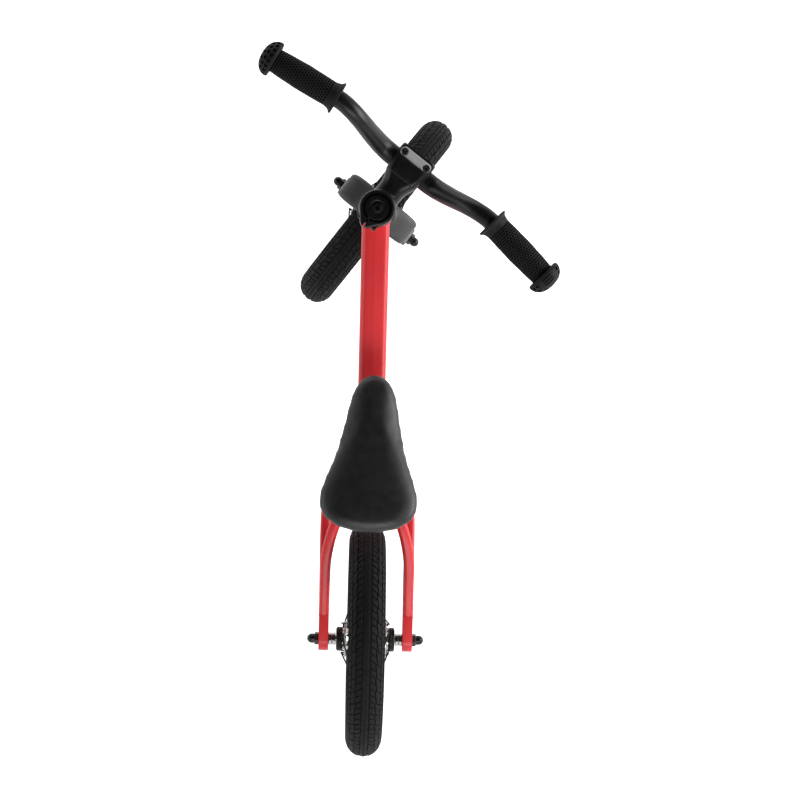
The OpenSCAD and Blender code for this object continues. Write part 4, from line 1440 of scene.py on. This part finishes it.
def build_crown():
    """Fork crown: rounded slabs that widen from the steerer down to the legs."""
    levels = ((152, 33, CROWN_W - 0.6, 4.6), (153, 33.8, CROWN_W, 5), (163, 34.6, CROWN_W, 5.2),
              (167, 35.6, 103, 6), (171, 36.6, 98, 7), (174.5, 37, 91, 8), (177.5, 37, 82, 9.5),
              (180.5, 36, 69, 11.5), (183, 34, 57, 14), (184.6, 31, 51.5, 14), (186, 28, 48, 13))
    bm = bmesh.new()
    rings = []
    for z, depth, width, corner in levels:
        rings.append([bm.verts.new(Vector((x + CROWN_SHIFT, y, z)) * MM)
                      for x, y in rounded_section(depth, width, corner, 8)])
    count = len(rings[0])
    for low, high in zip(rings, rings[1:]):
        for i in range(count):
            k = (i + 1) % count
            bm.faces.new((low[i], low[k], high[k], high[i]))
    bm.faces.new(reversed(rings[0]))
    bm.faces.new(rings[-1])
    crown = obj_from_bmesh("fork_crown_skin", bm, GREY, 40)
    boss = lathe("boss", [(0, 153), (20.4, 153), (20.4, 183), (18.6, 185.9), (0, 185.9)], GREY,
                 segments=96, radius=0)
    modifier(crown, "BOOLEAN", operation="UNION", object=boss, solver="EXACT")
    bake(crown)
    bpy.data.objects.remove(boss)
    hollow = block("hollow", (-40, -31, 100), (40, 31, 157.5), GREY, 4)
    modifier(crown, "BOOLEAN", operation="DIFFERENCE", object=hollow, solver="EXACT")
    bake(crown)
    bpy.data.objects.remove(hollow)
    bore = lathe("bore", [(0, 100), (14.3, 100), (14.3, 300), (0, 300)], GREY, radius=0)
    modifier(crown, "BOOLEAN", operation="DIFFERENCE", object=bore, solver="EXACT")
    bake(crown)
    bpy.data.objects.remove(bore)
    modifier(crown, "BEVEL", width=0.0008, segments=3, limit_method="ANGLE",
             angle_limit=math.radians(40))
    bake(crown)
    shade_by_angle(crown, 35)
    finish_piece(place(crown, STEERED), "steering", "fork_crown")


def build_legs():
    middle = LEG_OUT - FORK_DROPOUT_T / 2
    stations = smooth_stations([[RAKE, middle, 16, 22, FORK_DROPOUT_T - 0.2],
                                [RAKE, LEG_OUT - 5.6, 32, 23, 10.6],
                                [RAKE - 1, LEG_OUT - 9, 80, 26, 14],
                                [CROWN_SHIFT + 0.3, LEG_OUT - 12.3, 125, 31, 18.5],
                                [CROWN_SHIFT, CROWN_W / 2 - 9.6, 152, 32.4, 19]], 10)
    body = sweep("leg", [p[:3] for p in stations],
                 [rounded_section(p[3], p[4], min(6.5, p[4] / 2 - 0.3), 6) for p in stations],
                 (0, 1, 0), GREY, angle=30)
    slot = 4.15
    eye = [(13 * math.cos(a), 13 * math.sin(a)) for a in
           (math.radians(d) for d in range(20, -71, -7))]
    left_eye = [(-x, y) for x, y in reversed(eye)]
    inner = [(slot, -12.4), (slot, 0)]
    inner += [(slot * math.cos(a), slot * math.sin(a)) for a in
              (math.pi * i / 8 for i in range(1, 8))]
    inner += [(-slot, 0), (-slot, -12.4)]
    outline = [(-11, 23), (11, 23)] + eye + inner + left_eye
    eye_plate = plate("eye", outline, -FORK_DROPOUT_T, 0, GREY, 0.9)
    place(eye_plate, Matrix.Translation(Vector((RAKE, LEG_OUT - FORK_DROPOUT_T, 0)) * MM)
          @ Matrix.Rotation(math.radians(90), 4, "X"))
    leg = joined("fork_leg_left_skin", body, eye_plate)
    shade_by_angle(leg, 35)
    right = copy_of(leg, "fork_leg_right_skin", STEERED @ MIRROR_Y)
    finish_piece(right, "steering", "fork_leg_right")
    finish_piece(place(leg, STEERED), "steering", "fork_leg_left")


# ---------------------------------------------------------------- headset, in heights along the axis

HEAD_BOTTOM, HEAD_TOP = 201, 301
COVER_T = HEAD_TOP + 10.5
STEM_BOTTOM = COVER_T + 4.5 + 6
STEERER_R = 14.35


def build_headset():
    lower = [(15.5, 191), (22, 191), (22.5, 191.6), (22.5, 196.5), (21.8, 197.2), (21.8, 198.2),
             (22.5, 199), (22.5, 200.6), (22, 201), (17, 201), (17, 208.5), (15.5, 208.5)]
    finish_piece(lathe("lower_cup_skin", lower, BLACK, HEADED, 96, 0.35, closed=True), "frame",
                 "lower_cup")
    upper = [(r, HEAD_BOTTOM + HEAD_TOP - z) for r, z in lower]
    finish_piece(lathe("upper_cup_skin", upper, BLACK, HEADED, 96, 0.35, closed=True), "frame",
                 "upper_cup")
    cover = [(STEERER_R, COVER_T), (22.3, COVER_T), (22.3, COVER_T + 1.6), (21.6, COVER_T + 2.5),
             (19, COVER_T + 4.1), (18.4, COVER_T + 4.5), (STEERER_R, COVER_T + 4.5)]
    finish_piece(lathe("headset_cover_skin", cover, BLACK, STEERED, 96, 0.4, closed=True),
                 "steering", "headset_cover")
    spacer = [(STEERER_R, COVER_T + 4.52), (17.5, COVER_T + 4.52), (17.5, STEM_BOTTOM - 0.02),
              (STEERER_R, STEM_BOTTOM - 0.02)]
    finish_piece(lathe("spacer_skin", spacer, PLATE, STEERED, 72, 0.5, closed=True), "steering",
                 "spacer")


# ---------------------------------------------------------------- stem

STEM_H = 46
CAP_SEAT = STEM_BOTTOM + 40


def boolean(made, other, operation="DIFFERENCE"):
    modifier(made, "BOOLEAN", operation=operation, object=other, solver="EXACT")
    bake(made)
    bpy.data.objects.remove(other)
    return made


def rod_y(name, y0, y1, x, z, r, material, segments=48):
    rod = lathe(name, [(0, 0), (r, 0), (r, y1 - y0), (0, y1 - y0)], material, segments=segments,
                radius=0)
    return place(rod, Matrix.Translation(Vector((x, y0, z)) * MM)
                 @ Matrix.Rotation(math.radians(-90), 4, "X"))


CLAMP_LEAN = Matrix.Rotation(math.radians(-15), 4, "Y")
BOLT_SPREAD = 16.4
CLAMP_BOLT_X = 15.7
PLATE_SEAT = 10.4
PLATE_T = 4.6


def clamp_bolt_places():
    """Frames of the two clamp bolts in the frame of the bar clamp, Z along the bolt."""
    return [Matrix.Translation(Vector((0, y, 0)) * MM) @ CLAMP_LEAN
            @ Matrix.Translation(Vector((CLAMP_BOLT_X, 0, 0)) * MM) for y in (-BOLT_SPREAD, BOLT_SPREAD)]


def lens_outline(grow, *more):
    """The lens-shaped plate that the two clamp bolts pass through."""
    circles = [(CLAMP_BOLT_X + 0.4, y, 5.4 + grow) for y in (-BOLT_SPREAD, BOLT_SPREAD)]
    circles += [(CLAMP_BOLT_X - 3.1, y, 2 + grow) for y in (-8, 8)]
    circles.append((CLAMP_BOLT_X - 3.6, 0, 2 + grow))
    return hull_outline(circles + list(more))


def build_stem_body():
    body = lathe("clamp", [(0, STEM_BOTTOM), (20.5, STEM_BOTTOM), (22, STEM_BOTTOM + 1.5),
                           (22, STEM_BOTTOM + STEM_H - 2), (20.6, STEM_BOTTOM + STEM_H),
                           (0, STEM_BOTTOM + STEM_H)], BLACK, segments=96, radius=1.0)
    boss_outline = [(0, -21), (-14, -16), (-26, -6), (-28.4, -2.4), (-29, 0), (-28.4, 2.4), (-26, 6),
                    (-14, 16), (0, 21)]
    boss = plate("boss", boss_outline, STEM_BOTTOM + 0.2, STEM_BOTTOM + STEM_H - 0.2, BLACK, 1.4)
    neck_stations = smooth_stations([(0, 35, 41, 15), (12, 34, 40, 15), (22, 33, 37, 15),
                                     (30, 33.4, 35, 14), (36, 36.4, 34.6, 13), (40.5, 40.2, 35, 12),
                                     (44, 42.6, 35.6, 11), (47, 43.6, 36, 10)], 4)
    neck = sweep("neck", [(p[0], 0, BAR_HEIGHT) for p in neck_stations],
                 [rounded_section(p[1], p[2], p[3], 8) for p in neck_stations], (0, 0, 1), BLACK)
    boolean(body, boss, "UNION")
    boolean(body, neck, "UNION")
    modifier(body, "REMESH", mode="VOXEL", voxel_size=0.0008)
    modifier(body, "SMOOTH", factor=0.6, iterations=9)
    bake(body)
    block_stations = smooth_stations([(-18, 42, 33, 8), (-17.2, 43.6, 35.6, 9), (-15.5, 44.6, 37.4, 9.5),
                                      (-10, 46.4, 38.8, 9.5), (-2, 48.2, 39, 9), (8, 49, 39, 9),
                                      (15, 49, 38.4, 9), (19, 48.4, 36, 9), (21, 46.6, 32, 9)], 3)
    clamp = sweep("clamp_block", [(STEM_REACH + p[0], 0, BAR_HEIGHT) for p in block_stations],
                  [rounded_section(p[1], p[2], p[3], 8) for p in block_stations], (0, 0, 1), BLACK)
    boolean(body, clamp, "UNION")
    boolean(body, lathe("bore", [(0, 300), (14.4, 300), (14.4, CAP_SEAT - 0.5), (17.6, CAP_SEAT),
                                 (17.6, 400), (0, 400)], BLACK, segments=96, radius=0))
    boolean(body, block("slot", (-40, -1, STEM_BOTTOM - 1), (0, 1, STEM_BOTTOM + STEM_H + 1), BLACK))
    boolean(body, rod_y("bar", -40, 40, STEM_REACH, BAR_HEIGHT, 12.75, BLACK, 96))
    at_bar = Matrix.Translation(Vector((STEM_REACH, 0, BAR_HEIGHT)) * MM)
    slit = block("slit", (9, -40, -1), (50, 40, 1), BLACK)
    boolean(body, place(slit, at_bar @ CLAMP_LEAN))
    ahead = [(CLAMP_BOLT_X + 20, y, 1) for y in (-27, 27)]
    seat = plate("seat", lens_outline(0.2, *ahead), PLATE_SEAT, PLATE_SEAT + 30, BLACK, 0)
    boolean(body, place(seat, at_bar @ CLAMP_LEAN))
    for matrix in clamp_bolt_places():
        hole = lathe("hole", [(0, -15), (2.55, -15), (2.55, 40), (0, 40)], BLACK, at_bar @ matrix, 32, 0)
        boolean(body, hole)
    for height in (11, 33):
        for low, high in ((10, 30), (-30, -10)):
            boolean(body, rod_y("pocket", low, high, -20.5, STEM_BOTTOM + height, 4.7, BLACK))
    body.name = "stem_body_skin"
    modifier(body, "BEVEL", width=0.0005, segments=2, limit_method="ANGLE",
             angle_limit=math.radians(55))
    bake(body)
    shade_by_angle(body, 32)
    finish_piece(place(body, STEERED), "steering", "stem_body")


def build_clamp_plate():
    made = plate("clamp_plate_skin", lens_outline(0), PLATE_SEAT + 0.02, PLATE_SEAT + PLATE_T, PLATE,
                 0.5)
    place(made, CLAMP_LEAN)
    for matrix in clamp_bolt_places():
        top = PLATE_SEAT + PLATE_T
        cut = [(0, 0), (2.6, 0), (2.6, PLATE_SEAT + 1), (4.6, PLATE_SEAT + 1), (4.6, top - 0.4),
               (5.2, top + 0.2), (0, top + 0.2)]
        boolean(made, lathe("pocket", cut, PLATE, matrix, 64, 0))
    shade_by_angle(made, 30)
    finish_piece(place(made, STEERED_BAR), "steering", "clamp_plate")


def socket_bolt(name, head_r, low, high, shank_r, shank_end, socket_r, material):
    """A cap screw along Z: head from low to high with a hexagon socket."""
    screw = lathe(name, [(0, shank_end), (shank_r, shank_end), (shank_r, low), (head_r, low),
                         (head_r, high), (0, high)], material, segments=48, radius=0.45)
    socket = lathe("socket", [(0, high - 2.6), (socket_r, high - 2.6), (socket_r, high + 1),
                              (0, high + 1)], material, segments=6, radius=0)
    boolean(screw, socket)
    shade_by_angle(screw, 35)
    return screw


def build_screws():
    screws = []
    head = PLATE_SEAT + 1.05
    for matrix in clamp_bolt_places():
        screws.append(place(socket_bolt("screw", 4.3, head, head + 2.8, 2.5, -13, 2.3, STEEL), matrix))
    made = place(joined("clamp_bolts_skin", *screws), STEERED_BAR)
    shade_by_angle(made, 35)
    finish_piece(made, "steering", "clamp_bolts")
    screws = []
    for height in (11, 33):
        matrix = (Matrix.Translation(Vector((-20.5, 0, STEM_BOTTOM + height)) * MM)
                  @ Matrix.Rotation(math.radians(90), 4, "X"))
        screws.append(place(socket_bolt("screw", 4.3, 10.05, 14.5, 2.5, -12, 2.3, BLACK), matrix))
    made = place(joined("pinch_bolts_skin", *screws), STEERED)
    shade_by_angle(made, 35)
    finish_piece(made, "steering", "pinch_bolts")
    seat = CAP_SEAT + 3.24
    made = place(socket_bolt("top_cap_bolt_skin", 5, seat, seat + 3, 3, seat - 32, 2.6, BLACK), STEERED)
    finish_piece(made, "steering", "top_cap_bolt")
    cap = [(3.15, CAP_SEAT + 0.05), (16.5, CAP_SEAT + 0.05), (16.5, CAP_SEAT + 2.0),
           (14.6, CAP_SEAT + 3.1), (9.5, CAP_SEAT + 3.2), (8.6, CAP_SEAT + 2.7),
           (5.9, CAP_SEAT + 2.7), (5.6, CAP_SEAT + 3.2), (3.15, CAP_SEAT + 3.2)]
    finish_piece(lathe("top_cap_skin", cap, BLACK, STEERED, 96, 0.5, closed=True), "steering",
                 "top_cap")


# ---------------------------------------------------------------- wheels

def build_rims():
    outline = [(92, 0), (92, 4.6), (92.9, 7.2), (95.2, 12), (96.4, 12.5), (105.6, 12.5),
               (106.7, 12.1), (106.7, 10.4), (105.4, 10.1), (101.4, 10.1), (101.4, 6.5), (99.5, 5.5),
               (99.5, 0)]
    full = outline + [(r, -z) for r, z in reversed(outline[1:-1])]
    rim = lathe("rim", full, RIM_BLACK, segments=192, radius=0.5, closed=True)
    for name, matrix, body in (("rear_rim", REAR_WHEEL, "rear_wheel"),
                               ("front_rim", FRONT_WHEEL, "front_wheel")):
        finish_piece(copy_of(rim, name + "_skin", matrix), body, name)
    bpy.data.objects.remove(rim)


def build_hubs():
    """Waisted shells with two flanges, glossy ribbed end covers, nuts and domed caps."""
    flange = 51 / 2
    shell = [(7, 0), (7, 28.9), (11, 29), (11, 36), (13, 36), (13, flange + 1.4), (22.2, flange + 1.2),
             (22.8, flange + 0.7), (22.8, flange - 0.7), (22.2, flange - 1.2), (14.6, flange - 1.4),
             (12.6, flange - 5), (11.6, 12), (11.6, 0)]
    full = shell + [(r, -z) for r, z in reversed(shell[1:-1])]
    shell_made = lathe("hub_shell", full, ZINC, segments=96, radius=0.5, closed=True)
    low, high = flange + 3.6, 37.2
    cap = [(13.05, low), (15, low), (15, low + 2.3), (15.5, low + 2.7), (15.5, low + 3.7),
           (15, low + 4.1), (15, low + 4.8), (15.5, low + 5.2), (15.5, low + 6.2), (15, low + 6.6),
           (14.2, high - 0.5), (12.5, high), (8.4, high), (8.4, high - 1), (13.05, high - 1.2)]
    cap_made = lathe("hub_cap", cap, BLACK, segments=96, radius=0.4, closed=True)
    nut_r = 14 / math.sqrt(3)
    nuts = []
    for low, high in ((37.8, 42), (42.45, 46.95)):
        nuts.append(lathe("nut", [(4.05, low), (nut_r - 1, low), (nut_r, low + 0.6),
                                  (nut_r, high - 0.6), (nut_r - 1, high), (4.05, high)], ZINC,
                          segments=6, radius=0.2, closed=True, angle=20))
        nuts.append(lathe("washer", [(4.1, high), (nut_r - 1.2, high), (nut_r - 1.2, high + 0.25),
                                     (4.1, high + 0.25)], ZINC, segments=48, radius=0.1, closed=True))
    nuts_made = joined("nuts", *nuts)
    for wheel, matrix, body, holder, dropout in (
            ("rear", REAR_WHEEL, "rear_wheel", "frame", DROPOUT_T),
            ("front", FRONT_WHEEL, "front_wheel", "steering", FORK_DROPOUT_T)):
        finish_piece(copy_of(shell_made, wheel + "_hub_skin", matrix), body, wheel + "_hub")
        pair = [copy_of(cap_made, "a", matrix), copy_of(cap_made, "b", matrix @ MIRROR_Z)]
        finish_piece(joined(wheel + "_hub_caps_skin", *pair), body, wheel + "_hub_caps")
        pair = [copy_of(nuts_made, "a", matrix), copy_of(nuts_made, "b", matrix @ MIRROR_Z)]
        finish_piece(joined(wheel + "_cone_nuts_skin", *pair), node_body(wheel + "_cone_nuts"),
                     wheel + "_cone_nuts")
        seat = HUB_W / 2 + dropout + 0.05
        base = [(4.05, seat), (nut_r - 0.6, seat), (nut_r, seat + 0.5), (nut_r, seat + 4.4),
                (nut_r - 1.2, seat + 5), (6.2, seat + 5), (5.9, seat + 5.6)]
        dome = [(6 * math.cos(a), seat + 8.5 + 6 * math.sin(a))
                for a in (math.radians(d) for d in range(0, 91, 10))]
        dome[-1] = (0, seat + 14.5)
        hexagon = lathe("base", base[:-1] + [(4.05, seat + 5)], STEEL, segments=6, radius=0.2,
                        closed=True, angle=20)
        cover = lathe("dome", [(4.05, seat + 4.2), (6.0, seat + 4.6), (6.0, seat + 6)] + dome, STEEL,
                      segments=64, radius=0.3)
        half = joined("cap_half", hexagon, cover)
        pair = [copy_of(half, "a", matrix), copy_of(half, "b", matrix @ MIRROR_Z)]
        bpy.data.objects.remove(half)
        finish_piece(joined(wheel + "_cap_nuts_skin", *pair), holder, wheel + "_cap_nuts")
    for made in (shell_made, cap_made, nuts_made):
        bpy.data.objects.remove(made)


def node_body(name):
    for body, obj in frame["bodies"].items():
        if nodes[name].parent == obj:
            return body
    return nodes[name].get("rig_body", "frame")


# ---------------------------------------------------------------- pieces kept as they are

def dress_nodes():
    """Finishes and rounded edges for the pieces whose CAD form is already the real one."""
    finishes = {"seat_collar": BLACK, "seat_collar_bolt": ZINC, "headset_bearings": ZINC,
                "crown_race": ZINC, "steerer_tube": GREY, "star_nut": ZINC, "seatpost": BLACK,
                "saddle_clamp": BLACK, "saddle_clamp_bolt": ZINC, "rear_axle": ZINC,
                "front_axle": ZINC}
    for wheel in ("rear", "front"):
        finishes[wheel + "_spokes"] = SPOKE_BLACK
        finishes[wheel + "_nipples"] = STEEL
        finishes[wheel + "_hub_bearings"] = ZINC
        finishes[wheel + "_valve"] = GRIP
        finishes[wheel + "_inner_tube"] = GRIP
    for name, finish in finishes.items():
        node = nodes[name]
        node.data.materials.clear()
        node.data.materials.append(finish)
        if name.endswith("spokes") or name.endswith("inner_tube"):
            continue
        modifier(node, "BEVEL", width=0.0005, segments=2, limit_method="ANGLE",
                 angle_limit=math.radians(50), harden_normals=False)


build_tyres()
build_handlebar()
build_grips()
build_saddle_cover()
build_saddle_base()
build_saddle_rails()
build_beam()
build_stays()
build_seat_tube()
build_head_tube()
build_crown()
build_legs()
build_headset()
build_stem_body()
build_clamp_plate()
build_screws()
build_rims()
build_hubs()
dress_nodes()
